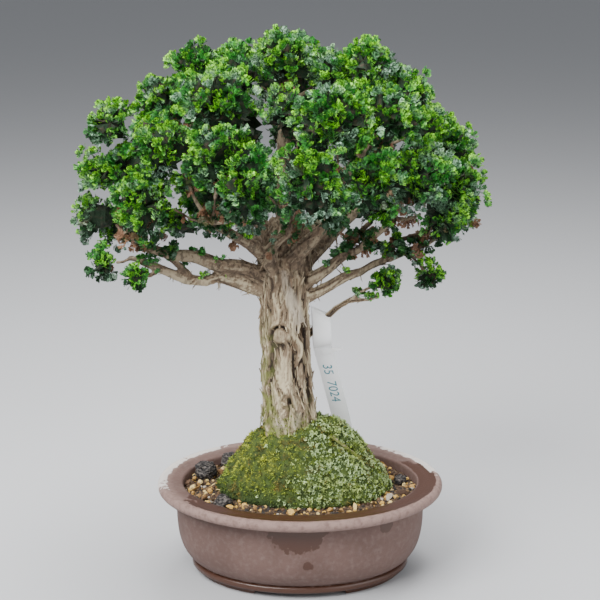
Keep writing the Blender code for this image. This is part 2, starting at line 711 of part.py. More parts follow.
def stand_on_origin():
    """Hangs every piece on one empty, which sets the middle of the whole tree over the origin."""
    stand = bpy.data.objects.new("stand", None)
    stand.location = STAND
    bpy.context.scene.collection.objects.link(stand)
    for obj in bpy.data.objects:
        if obj.type == "MESH":
            obj.parent = stand


def build():
    clear_scene()
    pot()
    for name, x in (("drain_net_left", -DRAIN_X), ("drain_net_right", DRAIN_X)):
        drain_net(name, x)
    soil(stump_cutters())
    moss(stump_cutters())
    for name, (middle, radius, height) in CLODS.items():
        clod(name, middle, radius, height)
    twigs = twig_paths()
    wood(twigs)
    for name in SPRAYS:
        spray(name, twigs)
    label()
    stand_on_origin()


build()
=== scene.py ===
"""Dresses a hinoki cypress bonsai: bark, scale-leaved sprays, moss, substrate, pot and label."""

import json
import math
import random

import bmesh
import bpy
import numpy as np
from bpy.props import FloatProperty, FloatVectorProperty, IntProperty, PointerProperty, StringProperty
from mathutils import Matrix, Vector, noise

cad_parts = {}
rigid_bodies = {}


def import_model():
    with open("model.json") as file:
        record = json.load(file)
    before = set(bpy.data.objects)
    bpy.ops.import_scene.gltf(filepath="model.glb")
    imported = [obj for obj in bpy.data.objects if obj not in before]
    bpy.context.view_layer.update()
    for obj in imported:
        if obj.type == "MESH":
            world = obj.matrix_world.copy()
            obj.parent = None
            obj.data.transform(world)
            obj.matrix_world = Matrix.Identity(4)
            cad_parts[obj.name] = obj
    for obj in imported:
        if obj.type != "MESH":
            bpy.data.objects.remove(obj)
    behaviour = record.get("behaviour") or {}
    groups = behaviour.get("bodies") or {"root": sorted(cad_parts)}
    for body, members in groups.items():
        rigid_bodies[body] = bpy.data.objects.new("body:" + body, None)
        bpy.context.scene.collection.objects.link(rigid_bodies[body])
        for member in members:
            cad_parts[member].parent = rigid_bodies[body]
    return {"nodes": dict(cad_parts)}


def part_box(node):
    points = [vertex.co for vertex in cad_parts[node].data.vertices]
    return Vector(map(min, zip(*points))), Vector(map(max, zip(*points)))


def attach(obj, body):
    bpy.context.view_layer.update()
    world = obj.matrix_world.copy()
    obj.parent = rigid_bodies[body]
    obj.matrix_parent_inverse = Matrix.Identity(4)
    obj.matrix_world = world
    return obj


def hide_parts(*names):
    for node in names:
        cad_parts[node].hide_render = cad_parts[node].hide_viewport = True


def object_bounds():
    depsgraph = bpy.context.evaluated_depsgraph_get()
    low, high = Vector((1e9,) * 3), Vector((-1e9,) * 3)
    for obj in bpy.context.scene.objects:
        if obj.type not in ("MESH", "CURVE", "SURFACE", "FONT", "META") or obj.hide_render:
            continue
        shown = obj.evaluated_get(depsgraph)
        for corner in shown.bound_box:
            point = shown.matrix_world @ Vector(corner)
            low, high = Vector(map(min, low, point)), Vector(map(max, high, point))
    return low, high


bl_info = {
    "name": "Hinoki Cypress Bonsai",
    "version": (1, 0, 0),
    "blender": (4, 5, 0),
    "location": "3D View > Sidebar > Bonsai",
    "description": "Dresses a potted hinoki cypress bonsai with bark, leaves, moss and stoneware",
    "category": "Object",
}

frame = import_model()
CAD_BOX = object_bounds()

MM = 0.001
POT_LOW, POT_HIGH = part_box("pot")
POT_CENTRE = Vector(((POT_LOW.x + POT_HIGH.x) / 2, (POT_LOW.y + POT_HIGH.y) / 2, 0.0))
SPRAY_NODES = sorted(name for name in frame["nodes"] if name.startswith("spray_"))
CLOD_NODES = sorted(name for name in frame["nodes"] if name.startswith("clod_"))

# Trunk: points in millimetres from the middle of the pot's foot, with a radius at each
TRUNK = [
    ((-8, 0, 52), 24), ((-9, 0, 92), 37), ((-9, 0, 125), 33), ((-10, 0, 155), 29), ((-12, 0, 190), 26),
    ((-14, 0, 225), 24.5), ((-15, 0, 252), 24.5), ((-17, 0, 280), 24.5), ((-17, 0, 300), 25),
    ((-16, 1, 320), 27), ((-14, 3, 350), 25), ((-13, 5, 378), 16),
]

# Each limb: points from the trunk's heart outwards, then its radius at both ends
LIMBS = {
    "left_low": ([(-16, -4, 300), (-51, -10, 312), (-70, -14, 320), (-84, -16, 323), (-95, -20, 320),
                  (-114, -26, 323), (-139, -32, 336), (-157, -32, 343), (-168, -31, 346)], (9.5, 3.0)),
    "left_low_fork": ([(-139, -32, 336), (-144, -34, 332), (-148, -36, 330)], (3.4, 2.4)),
    "left_mid": ([(-16, -2, 308), (-40, -8, 322), (-61, -12, 331), (-83, -20, 337), (-103, -28, 347),
                  (-124, -34, 351), (-148, -34, 356), (-171, -20, 366)], (13, 3.6)),
    "left_mid_fork": ([(-107, -23, 320), (-116, -28, 333), (-128, -34, 345), (-140, -36, 355)], (5.5, 3.0)),
    "left_front": ([(-14, -6, 322), (-33, -18, 343), (-49, -34, 361), (-67, -48, 375), (-86, -62, 389)],
                   (11, 3.8)),
    "left_up": ([(-16, 4, 335), (-48, 8, 385), (-84, 8, 428), (-112, 8, 462)], (10, 3.8)),
    "front": ([(-20, -14, 322), (-32, -24, 340), (-30, -30, 354), (-22, -34, 365), (-11, -36, 373),
               (-6, -42, 386), (-6, -66, 404)], (8.5, 3.4)),
    "leader": ([(-13, 4, 350), (-14, 6, 405), (-16, 3, 455), (-14, 0, 500)], (15, 4.5)),
    "right_front": ([(-12, -8, 322), (-6, -18, 344), (6, -24, 358), (18, -28, 371), (30, -38, 388),
                     (40, -58, 406)], (12.5, 4.2)),
    "right_up": ([(-8, 4, 338), (18, 8, 384), (50, 6, 430), (76, 8, 462)], (10, 3.8)),
    "right_mid": ([(-8, -2, 300), (8, -6, 316), (20, -9, 324), (29, -11, 331), (42, -14, 344),
                   (59, -18, 352), (67, -20, 362), (82, -24, 374), (93, -24, 385)], (8.5, 3.4)),
    "right_mid_fork": ([(43, -14, 345), (48, -16, 358), (57, -18, 368), (71, -22, 381)], (5.0, 3.0)),
    "right_low": ([(-8, 0, 284), (6, -2, 297), (27, -5, 309), (45, -8, 321), (62, -11, 328), (76, -14, 337),
                   (91, -14, 342), (106, -12, 349), (125, -8, 354), (139, -2, 362)], (7.6, 2.6)),
    "right_low_fork": ([(84, -14, 340), (91, -14, 351), (97, -12, 360), (109, -8, 362), (122, -2, 364),
                        (134, 4, 369)], (4.4, 2.8)),
    "right_low_end": ([(91, -15, 341), (106, -18, 348), (114, -19, 343), (121, -18, 335)], (3.0, 2.2)),
    "right_lowest": ([(-4, 8, 243), (11, 15, 255), (20, 16, 264), (28, 16, 272), (38, 14, 282), (51, 11, 291),
                      (62, 6, 301), (72, 0, 308)], (5.0, 2.6)),
    "right_lowest_fork": ([(50, 11, 290), (60, 8, 292), (71, 4, 294), (80, 0, 299)], (3.0, 2.2)),
    "back_left": ([(-16, 8, 316), (-48, 48, 348), (-84, 82, 384), (-104, 100, 412)], (10.5, 3.8)),
    "back": ([(-12, 8, 330), (-10, 58, 372), (-8, 100, 412)], (10.5, 3.8)),
    "back_right": ([(-8, 8, 318), (32, 44, 352), (72, 74, 386), (96, 92, 414)], (10.5, 3.8)),
    "root_surface": ([(4, -8, 142), (32, -24, 155), (62, -23, 131), (86, -16, 84)], (8, 5.5)),
}

# Scars and hollows on the trunk's front: side, height, half width, half height and depth
KNOT = (-20.0, 266.0)
HOLLOWS = [
    (-29.5, 263.0, 2.4, 6.5, 5.0), (4.5, 265.0, 4.2, 7.0, 5.0), (5.5, 240.0, 2.0, 22.0, 3.2),
    (-10.5, 186.0, 3.0, 14.0, 5.5), (9.0, 205.0, 1.8, 20.0, 3.0), (-4.0, 300.0, 2.2, 11.0, 3.0),
    (-30.0, 220.0, 2.0, 24.0, 2.6), (-6.0, 232.0, 1.6, 15.0, 2.4),
]
BARE_STRIP = ((-17.0, 332.0), (0.0, 274.0))
WORN_TOES = [(-22.0, 168.0), (-4.0, 172.0)]
FRONT_FACE, CROTCH = -7.0, 345.0

# Bark: radius at which furrows are full, least share of their depth, and the heights where things grow
FULL_RADIUS, LEAST_DEPTH = 24.0, 0.36
STRIPS_FROM, SPURS_FROM = 165.0, 245.0
CREEP_FROM, CREEP_TO, CREEP_FADE = 92.0, 186.0, 26.0
ROOT_FROM, ROOT_TOP, ROOT_SUNK = 22.0, 162.0, 4.2
CROWN_HEART = (-10.0, 0.0, 395.0)

# Foliage: kinds of tuft, most tufts a square metre, and how far the dark body of painted shade inside a spray
# is drawn in
TUFT_KINDS = 5
TUFT_DENSITY = 60000.0
DRAWN_IN, DRAWN_IN_BEHIND = -0.27, -0.14
STRAY_SIZE, STRAYS_FACE_FROM = 0.75, (-14, 0, 250)
TWIG_RADIUS, TWIGS_FROM = 7.2, 338.0

# Seeds of the random fields
SEED_WANDER, SEED_SIZE, SEED_PICK, SEED_TURN, SEED_LUCK, SEED_SWAY = 3, 5, 7, 9, 11, 13

# Single tufts on the bare limbs: limb, share of its length, number of tufts
STRAYS = [
    ("left_low", 0.22, 3), ("left_low", 0.47, 2), ("left_low", 0.8, 3), ("left_mid", 0.7, 4),
    ("left_mid", 0.42, 2), ("right_mid", 0.34, 4), ("right_mid", 0.52, 3), ("right_low", 0.36, 2),
    ("right_low", 0.62, 3), ("right_low", 0.86, 3), ("right_lowest", 0.97, 3), ("front", 0.55, 2),
    ("right_low_end", 0.3, 5), ("right_low_end", 0.65, 5), ("right_low_end", 0.95, 5),
    ("right_lowest", 0.8, 5), ("right_lowest_fork", 0.7, 5), ("right_low_fork", 0.4, 4),
    ("left_low_fork", 0.8, 4), ("left_mid_fork", 0.6, 5),
    ("left_low", 0.9, 4), ("left_mid", 0.55, 6), ("left_mid", 0.85, 7), ("left_front", 0.55, 5),
    ("left_front", 0.8, 7), ("right_mid", 0.75, 6), ("right_front", 0.7, 5), ("back_left", 0.55, 3),
    ("back", 0.6, 3), ("back_right", 0.5, 3),
]

# Moss mound and pot, in millimetres from the middle of the pot's foot
MOUND_MIDDLE = (4.0, -3.0)
MOUND_HALF = (92.0, 61.0)
SOIL_TOP, MOSS_FROM = 84.0, 89.0
POT_HALF_LENGTH, POT_HALF_WIDTH = 150.0, 120.0
POT_SIDES = 200
BEAD_RADIUS, BEAD_HEIGHT = 5.8, 94.2
FOOT_HEIGHT, FOOT_GAP_FRONT, FOOT_GAP_SIDE, FOOT_GAP_SLANT = 6.0, 100.0, 56.0, 5.0
DRAIN_X, DRAIN_RADIUS = 55.0, 10.0

DRY_CLAY, WET_CLAY = 0.78, 0.32
GRAIN_CROWDING = 1.6

# Plastic label
SLIT = Vector((23, 19, 240))
LABEL_RUN = Vector((25, 24, -103))
LABEL_WIDTH, LABEL_THICKNESS, LABEL_BELOW = 19.0, 0.8, 111.0
LOOP_HEIGHT, LOOP_DEPTH, LOOP_STEPS = 44.0, 10.5, 28
LOOP_RUN = Vector((-0.04, -0.02, 1))
DIGIT_SIZE, DIGIT_SLANT, DIGIT_RELIEF = 13.5, 0.25, 0.04
DIGITS_DOWN, DIGITS_ACROSS = 22.0, -4.8

# Stage: half of the floor's side, the light of the surroundings, and each lamp's place, size and share
FLOOR_HALF = 14.0
SKY, SKY_STRENGTH = (0.92, 0.95, 1.0, 1.0), 0.36
LAMPS = {
    "key": ((-0.9, -1.1, 1.7), 1.3, 1.0), "fill": ((1.4, -1.2, 0.9), 1.6, 0.25),
    "top": ((0.1, 0.3, 1.8), 1.2, 0.6),
}
LAMP_AIM = (0, 0, 0.32)

# Camera, from the middle of the pot's foot
CAMERA_PLACE = (0.0, -1.5, 0.712)
CAMERA_PITCH = math.radians(15.56)
CAMERA_LENS = 91.4


def place(point):
    """A point in metres in the row frame, from millimetres off the middle of the pot's foot."""
    return POT_CENTRE + Vector(point) * MM


def linear(code):
    """sRGB hex to linear colour values."""
    shares = [int(code[k:k + 2], 16) / 255 for k in (1, 3, 5)]
    return [s / 12.92 if s <= 0.04045 else ((s + 0.055) / 1.055) ** 2.4 for s in shares]


def add(tree, kind, inputs=None, **settings):
    """Adds a node with its settings; each input takes a value or another node's socket."""
    made = tree.nodes.new(kind)
    for key, value in settings.items():
        setattr(made, key, value)
    for key, value in (inputs or {}).items():
        if isinstance(value, bpy.types.NodeSocket):
            tree.links.new(value, made.inputs[key])
        else:
            made.inputs[key].default_value = value
    return made


def colour_prop(label, about, code):
    settings = {"subtype": "COLOR", "min": 0, "max": 1, "default": linear(code)}
    return FloatVectorProperty(name=label, description=about, **settings)


def length_prop(label, about, millimetres):
    settings = {"subtype": "DISTANCE", "unit": "LENGTH", "default": millimetres * MM}
    return FloatProperty(name=label, description=about, **settings)


class PotSettings(bpy.types.PropertyGroup):
    clay: colour_prop("Clay", "Dry unglazed stoneware", "#675049")
    iron: colour_prop("Iron tone", "Browner fired patches and specks", "#4E3932")
    # The paler bead is partly paler clay and partly a painted highlight from the light above
    bead: colour_prop("Rubbed bead", "Paler clay on the rounded edge of the lip", "#8B736B")
    wet: colour_prop("Wet clay", "Stoneware where water has soaked in", "#472C20")
    scale: colour_prop("Water scale", "Pale mineral left by hard water", "#D6D0CA")
    speck: length_prop("Speck", "Size of the grog specks in the clay", 1.2)


class WoodSettings(bpy.types.PropertyGroup):
    voxel: length_prop("Detail", "Size of the finest wood detail", 1.65)
    furrow: length_prop("Furrow spacing", "Distance from one bark furrow to the next", 6.0)
    depth: length_prop("Furrow depth", "How deep the trunk's furrows are", 3.6)
    strips: IntProperty(name="Bark strips", description="Strips that peel off the trunk", default=560)
    spurs: IntProperty(name="Spurs", description="Dead spurs and fine twigs on the limbs", default=420)
    creeping: IntProperty(name="Creeping moss", description="Moss shoots on the trunk's foot", default=1800)
    # Ridge and furrow colours follow the bark's relief: weathered ridges and dark inner bark, partly painted
    # highlight on the ridges and painted shade in the furrows
    ridge_and_highlight: colour_prop("Bark ridge", "Weathered outer bark", "#C6B899")
    bark: colour_prop("Bark", "Middle tone of the bark", "#7F6D58")
    furrow_and_shade: colour_prop("Furrow", "Dark floor of the furrows", "#2C2118")
    bare: colour_prop("Bare wood", "Pale strip that has lost its bark", "#BDB19E")
    algae: colour_prop("Algae", "Green film on the shaded side and the foot", "#6F7638")
    # Painted shade: limb is a darker colour laid on the limbs because they lie in the crown's shade
    limb: colour_prop("Limb", "Darker bark on the limbs under the crown", "#5E4E3E")


class FoliageSettings(bpy.types.PropertyGroup):
    inner: IntProperty(name="Inner tufts", description="Tufts on the twigs inside the crown", default=700)
    spacing: length_prop("Tuft spacing", "Distance between tufts of scale leaves", 8.0)
    frond: length_prop("Frond", "Length of one fan of scale leaves", 8.0)
    sink: length_prop("Sink", "How deep the tufts sit in the spray's solid", 2.0)
    swell: length_prop("Swell", "How far clumps of tufts stand out of the hollows between them", 6.0)
    # Tips and leaf are laid where a tuft is lit and shaded leaf where it is not: painted light and painted
    # shade of the greens
    tip: colour_prop("Tips", "New growth at the ends of the fans", "#8EDB22")
    leaf: colour_prop("Leaf", "Grown scale leaves", "#31862C")
    painted_leaf_shade: colour_prop("Shaded leaf", "Leaves inside and under the sprays", "#173E1A")
    bloom: colour_prop("Bloom", "Waxy grey-green patches", "#9ABAA4")
    dead: colour_prop("Dead leaf", "Dry red-brown bits in the hollows", "#7E5A42")


class GroundSettings(bpy.types.PropertyGroup):
    shoots: IntProperty(name="Moss shoots", description="Number of shoots on the mound", default=10000)
    flakes: IntProperty(name="Lichen flakes", description="Number of pale flakes on the mound", default=4600)
    grain: length_prop("Grain spacing", "Distance between substrate grains", 3.7)
    moss: colour_prop("Moss", "Live moss", "#9DB43C")
    # Bright moss is laid on the lit upper left: young moss's colour, partly painted light
    young_and_lit: colour_prop("Bright moss", "Young moss on the lit side", "#D6DF4C")
    olive: colour_prop("Dry moss", "Ochre and olive old moss", "#A78E40")
    deep: colour_prop("Deep moss", "Dark moss at the foot and in the hollows", "#34471C")
    lichen: colour_prop("Lichen", "Pale mint flakes", "#B4C994")
    soil: colour_prop("Soil", "Damp peat between the grains", "#3A2C20")


class LabelSettings(bpy.types.PropertyGroup):
    plastic: colour_prop("Plastic", "White label plastic", "#FBFCFD")
    ink: colour_prop("Ink", "Faded marker", "#3F8896")
    number: StringProperty(name="Number", description="Plain number on the label", default="35  7024")


class StageSettings(bpy.types.PropertyGroup):
    floor: colour_prop("Floor", "Plain pale floor", "#B2B3B5")
    power: FloatProperty(name="Key light", description="Power of the large lamp", unit="POWER", default=92.0)


def math_of(tree, operation, *terms):
    return add(tree, "ShaderNodeMath", dict(enumerate(terms)), operation=operation).outputs[0]


def tone_of(value):
    """RGBA of a hex code, a colour setting or a list; a socket stays as it is."""
    if isinstance(value, bpy.types.NodeSocket):
        return value
    return (*(linear(value) if isinstance(value, str) else value), 1.0)


class Finish:
    """A procedural material: a base colour and layers over it, laid out in Object coordinates."""

    def __init__(self, name, roughness, base):
        self.material = bpy.data.materials.new(name)
        self.material.use_nodes = True
        self.tree = self.material.node_tree
        self.shader = self.tree.nodes["Principled BSDF"].inputs
        self.shader["Roughness"].default_value = roughness
        self.spot = add(self.tree, "ShaderNodeTexCoord").outputs["Object"]
        self.colour = tone_of(base)

    def feed(self, name, value):
        if isinstance(value, bpy.types.NodeSocket):
            self.tree.links.new(value, self.shader[name])
        else:
            self.shader[name].default_value = value

    def cloud(self, size, detail=3.0, stretch=(1, 1, 1)):
        """Noise whose features are about this size in metres, stretched along the axes."""
        scale = [1 / (size * s) for s in stretch]
        mapped = add(self.tree, "ShaderNodeMapping", {"Vector": self.spot, "Scale": scale}).outputs[0]
        inputs = {"Vector": mapped, "Scale": 1.0, "Detail": detail}
        return add(self.tree, "ShaderNodeTexNoise", inputs).outputs["Fac"]

    def painted(self, name):
        """A number that was painted on the mesh."""
        return add(self.tree, "ShaderNodeAttribute", attribute_name=name).outputs["Fac"]

    def between(self, value, low, high, top=1.0):
        """0 below low, rising smoothly to top above high."""
        inputs = {"Value": value, "From Min": low, "From Max": high, "To Max": top}
        return add(self.tree, "ShaderNodeMapRange", inputs, interpolation_type="SMOOTHSTEP").outputs["Result"]

    def spread(self, value, low, high):
        """From low where value is 0 to high where it is 1."""
        inputs = {"Value": value, "To Min": low, "To Max": high}
        return add(self.tree, "ShaderNodeMapRange", inputs).outputs["Result"]

    def plus(self, first, second):
        return math_of(self.tree, "ADD", first, second)

    def times(self, first, *others):
        for other in others:
            first = math_of(self.tree, "MULTIPLY", first, other)
        return first

    def layer(self, share, colour):
        """Lays a colour over what is there."""
        inputs = {0: share, 6: self.colour, 7: tone_of(colour)}
        self.colour = add(self.tree, "ShaderNodeMix", inputs, data_type="RGBA").outputs[2]

    def done(self, height=None, depth=0.0, strength=0.6):
        """Gives the material, with a fine relief on it."""
        self.feed("Base Color", self.colour)
        if height is not None:
            inputs = {"Height": height, "Distance": depth, "Strength": strength}
            self.feed("Normal", add(self.tree, "ShaderNodeBump", inputs).outputs[0])
        return self.material


def stoneware():
    """Unglazed stoneware fired brown: matt where dry, dark and shiny where water has soaked in."""
    s = bpy.context.scene.bonsai_pot
    f = Finish("unglazed_stoneware", DRY_CLAY, s.clay)
    f.layer(f.between(f.cloud(0.05, 5.0), 0.4, 0.7, 0.4), s.iron)
    dust = f.cloud(0.005, 6.0)
    f.layer(f.between(dust, 0.4, 0.9, 0.07), s.scale)
    # The paler bead: partly paler clay, partly a painted highlight from above
    f.layer(f.times(f.painted("bead"), f.between(dust, 0.1, 0.6, 0.85)), s.bead)
    f.layer(f.between(f.cloud(s.speck, 1.0), 0.62, 0.74, 0.4), s.iron)
    wet = f.between(f.plus(f.painted("wet"), f.cloud(0.006, 5.0)), 0.96, 1.02)
    f.layer(wet, s.wet)
    crust = f.plus(f.painted("scale"), f.cloud(0.0045, 5.0, (1.4, 1.4, 0.8)))
    f.layer(f.between(crust, 1.02, 1.16, 0.85), s.scale)
    f.feed("Roughness", f.spread(wet, DRY_CLAY, WET_CLAY))
    return f.done(f.cloud(0.0016, 4.0), 0.0004, 0.5)


def bark():
    """Fibrous cypress bark: grey ridges over dark furrows, partly painted highlight and shade, with a pale
    bare strip, green film and painted shade on the limbs under the crown.
    """
    s = bpy.context.scene.bonsai_wood
    f = Finish("cypress_bark", 0.9, s.furrow_and_shade)
    fibre, limb = f.cloud(0.0024, 4.0, (1, 1, 8)), f.painted("limb")
    # Colour by relief height: darker in furrows and hollows, paler on ridges, partly painted shade and
    # painted highlight
    height = math_of(f.tree, "MULTIPLY_ADD", fibre, 0.6, f.painted("bark_height"))
    f.layer(f.between(height, 0.3, 0.72), s.bark)
    f.layer(f.between(height, 0.72, 1.1), s.ridge_and_highlight)
    f.layer(f.between(f.cloud(0.016, 4.0, (1, 1, 3)), 0.56, 0.75, 0.3), "#9A7350")
    f.layer(f.times(f.painted("bare"), f.between(fibre, 0.2, 0.5)), s.bare)
    f.layer(f.times(f.painted("algae"), f.between(f.cloud(0.009, 5.0), 0.36, 0.62)), s.algae)
    # Painted shade: the limbs under the crown are darkened towards the limb colour
    f.layer(f.times(limb, 0.72), s.limb)
    flaky = f.between(f.cloud(0.0045, 5.0, (1, 1, 1.5)), 0.5, 0.6, 0.6)
    f.layer(f.times(limb, flaky), s.furrow_and_shade)
    return f.done(f.cloud(0.0013, 5.0, (1, 1, 7)), 0.0009, 0.9)


def scale_leaves():
    """Hinoki scale leaves: painted shade in deep green where tufts face down or sit in the hollows, painted
    light in green where they face up on the crests, lime new tips where lit and a waxy grey-green bloom.
    """
    s = bpy.context.scene.bonsai_foliage
    f = Finish("hinoki_scale_leaves", 0.5, s.painted_leaf_shade)
    f.feed("Specular IOR Level", 0.4)
    tip, crest, sun, luck = (f.painted(name) for name in ("tip", "crest", "sun", "luck"))
    # Painted light: how far a tuft faces up and stands on a crest sets how lit its colour is
    lit = f.times(f.between(sun, -0.7, 0.6), f.spread(crest, 0.25, 1.0))
    # Painted light: the shaded leaf colour turns to leaf green only where the tuft is lit
    f.layer(f.between(lit, 0.04, 0.42), s.leaf)
    waxy = f.between(f.cloud(0.034), 0.44, 0.6, 0.85)
    f.layer(f.times(waxy, f.between(luck, 0.15, 0.6), f.between(tip, 0.0, 0.5)), s.bloom)
    # New tips are lime only where lit: the colour of new growth, partly painted light
    fresh = f.between(f.cloud(0.024, 2.0), 0.36, 0.56)
    f.layer(f.times(f.between(tip, 0.3, 0.9), f.between(lit, 0.2, 0.7), fresh), s.tip)
    # Painted shade: a fine dark speckle stands in for the shade between the lobes
    f.layer(f.between(f.cloud(0.002, 1.0), 0.56, 0.4, 0.85), [0.6 * v for v in s.painted_leaf_shade])
    leaning = f.plus(luck, f.times(f.painted("crowd"), 0.4))
    f.layer(f.times(f.between(leaning, 0.92, 0.95), f.between(lit, 0.3, 0.12)), s.dead)
    return f.done(f.cloud(0.0011, 1.0), 0.0004, 0.5)


def inner_leaves():
    """Painted shade: a dark body inside a spray that stands in for the shade in the crown, with brown patches
    of old leaves and twigs.
    """
    f = Finish("inner_leaves", 0.9, [0.4 * v for v in bpy.context.scene.bonsai_foliage.painted_leaf_shade])
    old = f.cloud(0.006, 4.0)
    f.layer(f.between(old, 0.45, 0.75), "#3A2E22")
    return f.done(old, 0.003, 1.0)


def moss_growth():
    """Cushion moss: live green, lime on the upper left that is partly young moss and partly painted light,
    ochre where dry and dark at the foot.
    """
    s = bpy.context.scene.bonsai_ground
    f = Finish("cushion_moss", 0.95, s.moss)
    patch, fine = f.cloud(0.022), f.cloud(0.0055)
    f.layer(f.times(f.painted("young_and_lit"), f.between(patch, 0.4, 0.55)), s.young_and_lit)
    f.layer(f.between(f.cloud(0.017, 3.0, (1, 1, 0.8)), 0.54, 0.64), s.olive)
    f.layer(f.times(f.painted("foot"), f.between(patch, 0.3, 0.5)), s.deep)
    f.layer(f.between(fine, 0.46, 0.62, 0.8), s.deep)
    f.layer(f.between(f.painted("luck"), 0.6, 0.95, 0.7), s.deep)
    f.layer(f.between(f.painted("tip"), 0.85, 0.1, 0.92), [0.7 * v for v in s.deep])
    return f.done(fine, 0.002, 0.8)


def lichen_growth():
    """Leafy lichen: pale mint flakes with lighter rims."""
    f = Finish("leafy_lichen", 0.85, bpy.context.scene.bonsai_ground.lichen)
    f.layer(f.between(f.cloud(0.016), 0.42, 0.64), "#A3B56A")
    f.layer(f.between(f.painted("tip"), 0.8, 0.0, 0.85), "#55683A")
    return f.done(f.cloud(0.0015, 2.0), 0.0006)


def damp_soil():
    """Damp peat with fine grit."""
    f = Finish("damp_peat", 0.9, bpy.context.scene.bonsai_ground.soil)
    grit = f.cloud(0.0022, 4.0)
    f.layer(f.between(grit, 0.42, 0.7), "#80664A")
    return f.done(grit, 0.0016, 1.0)


def grain_mix(name, stops):
    """Grains of the substrate, each of one kind: the share where a kind starts and its colour."""
    f = Finish(name, 0.85, stops[0][1])
    ramp = add(f.tree, "ShaderNodeValToRGB", {0: f.painted("luck")})
    ramp.color_ramp.interpolation = "CONSTANT"
    elements = ramp.color_ramp.elements
    for k, (share, code) in enumerate(stops):
        element = elements[k] if k < 2 else elements.new(share)
        element.position, element.color = share, tone_of(code)
    f.colour = ramp.outputs["Color"]
    pores = f.cloud(0.0014)
    f.layer(f.between(pores, 0.5, 0.75, 0.5), "#3A2C20")
    return f.done(pores, 0.0007, 0.9)


def charred_clod():
    """Clods of charcoal and peat."""
    f = Finish("charred_peat", 0.8, "#171516")
    char = f.cloud(0.003, 5.0, (1, 1, 0.5))
    f.layer(f.between(char, 0.4, 0.72), "#6A635E")
    return f.done(char, 0.0016, 1.0)


def label_plastic():
    """White PVC label sheet, satin and a little scuffed."""
    f = Finish("white_pvc", 0.38, bpy.context.scene.bonsai_label.plastic)
    f.layer(f.between(f.cloud(0.012, 5.0), 0.58, 0.8, 0.2), "#CFD0C8")
    return f.done()


def label_ink():
    """Marker ink that has faded in the sun."""
    s = bpy.context.scene.bonsai_label
    f = Finish("faded_marker", 0.6, s.ink)
    f.layer(f.between(f.cloud(0.0016), 0.58, 0.78, 0.5), s.plastic)
    return f.done()


def net_plastic():
    """Black polyethylene netting."""
    f = Finish("black_netting", 0.5, "#17181A")
    f.layer(f.cloud(0.004, 2.0), "#2B2C2E")
    return f.done()


def mesh_object(name, points, faces, smooth=False):
    """A mesh object in metres."""
    mesh = bpy.data.meshes.new(name)
    mesh.from_pydata([tuple(p) for p in points], [], faces)
    mesh.validate()
    if smooth:
        mesh.shade_smooth()
    obj = bpy.data.objects.new(name, mesh)
    bpy.context.scene.collection.objects.link(obj)
    return obj


def outward(obj):
    """Turns a closed mesh's faces outwards."""
    shape = bmesh.new()
    shape.from_mesh(obj.data)
    bmesh.ops.recalc_face_normals(shape, faces=shape.faces)
    if shape.calc_volume(signed=True) < 0:
        bmesh.ops.reverse_faces(shape, faces=shape.faces)
    shape.to_mesh(obj.data)
    shape.free()
    return obj


def paint(obj, name, values):
    """Stores one number a point for the materials to read."""
    layer = obj.data.attributes.get(name) or obj.data.attributes.new(name, "FLOAT", "POINT")
    layer.data.foreach_set("value", np.asarray(values, np.float32))


def made_mesh(obj):
    """Turns an object with modifiers into a plain mesh object and removes the modifiers."""
    evaluated = obj.evaluated_get(bpy.context.evaluated_depsgraph_get())
    mesh = bpy.data.meshes.new_from_object(evaluated)
    obj.modifiers.clear()
    old = obj.data
    obj.data = mesh
    if old.users == 0:
        bpy.data.meshes.remove(old)
    return obj


def copy_of(node, name):
    """A merged copy of a CAD node's mesh as a new object."""
    obj = bpy.data.objects.new(name, frame["nodes"][node].data.copy())
    bpy.context.scene.collection.objects.link(obj)
    obj.data.materials.clear()
    shape = bmesh.new()
    shape.from_mesh(obj.data)
    bmesh.ops.remove_doubles(shape, verts=shape.verts, dist=1e-5)
    shape.to_mesh(obj.data)
    shape.free()
    return obj


def refined(node, name, voxel, smoothing):
    """A fine copy of a CAD node: remeshed in small voxels and smoothed."""
    obj = copy_of(node, name)
    remesh = obj.modifiers.new("remesh", "REMESH")
    remesh.mode = "VOXEL"
    remesh.voxel_size = voxel
    soften = obj.modifiers.new("soften", "SMOOTH")
    soften.factor = 0.6
    soften.iterations = smoothing
    made_mesh(obj)
    obj.data.shade_smooth()
    return obj


def vectors_of(data, key):
    values = np.empty(len(data) * 3, np.float32)
    data.foreach_get(key, values)
    return values.reshape(-1, 3).astype(float)


def points_of(obj):
    return vectors_of(obj.data.vertices, "co")


def normals_of(obj):
    return vectors_of(obj.data.vertex_normals, "vector")


def from_foot(points):
    """Millimetres from the middle of the pot's foot."""
    return (points - np.array(POT_CENTRE)) / MM


def move_points(obj, points):
    obj.data.vertices.foreach_set("co", points.astype(np.float32).ravel())
    obj.data.update()


def lumpy(points, height, size, offset=(0, 0, 0)):
    """Noise at each point, so high and with features of this size in metres."""
    return height * np.array([noise.noise(Vector(p) / size + Vector(offset)) for p in points])


def settle(obj, nodes=(), materials=()):
    """Gives a finished piece its materials and its body, and hides the CAD nodes that it stands for."""
    if materials:
        obj.data.materials.clear()
        for material in materials:
            obj.data.materials.append(material)
    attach(obj, "root")
    if nodes:
        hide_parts(*nodes)
    return obj


def dress(node, material):
    """Gives a CAD node that stays a better material."""
    obj = frame["nodes"][node]
    obj.data.materials.clear()
    obj.data.materials.append(material)


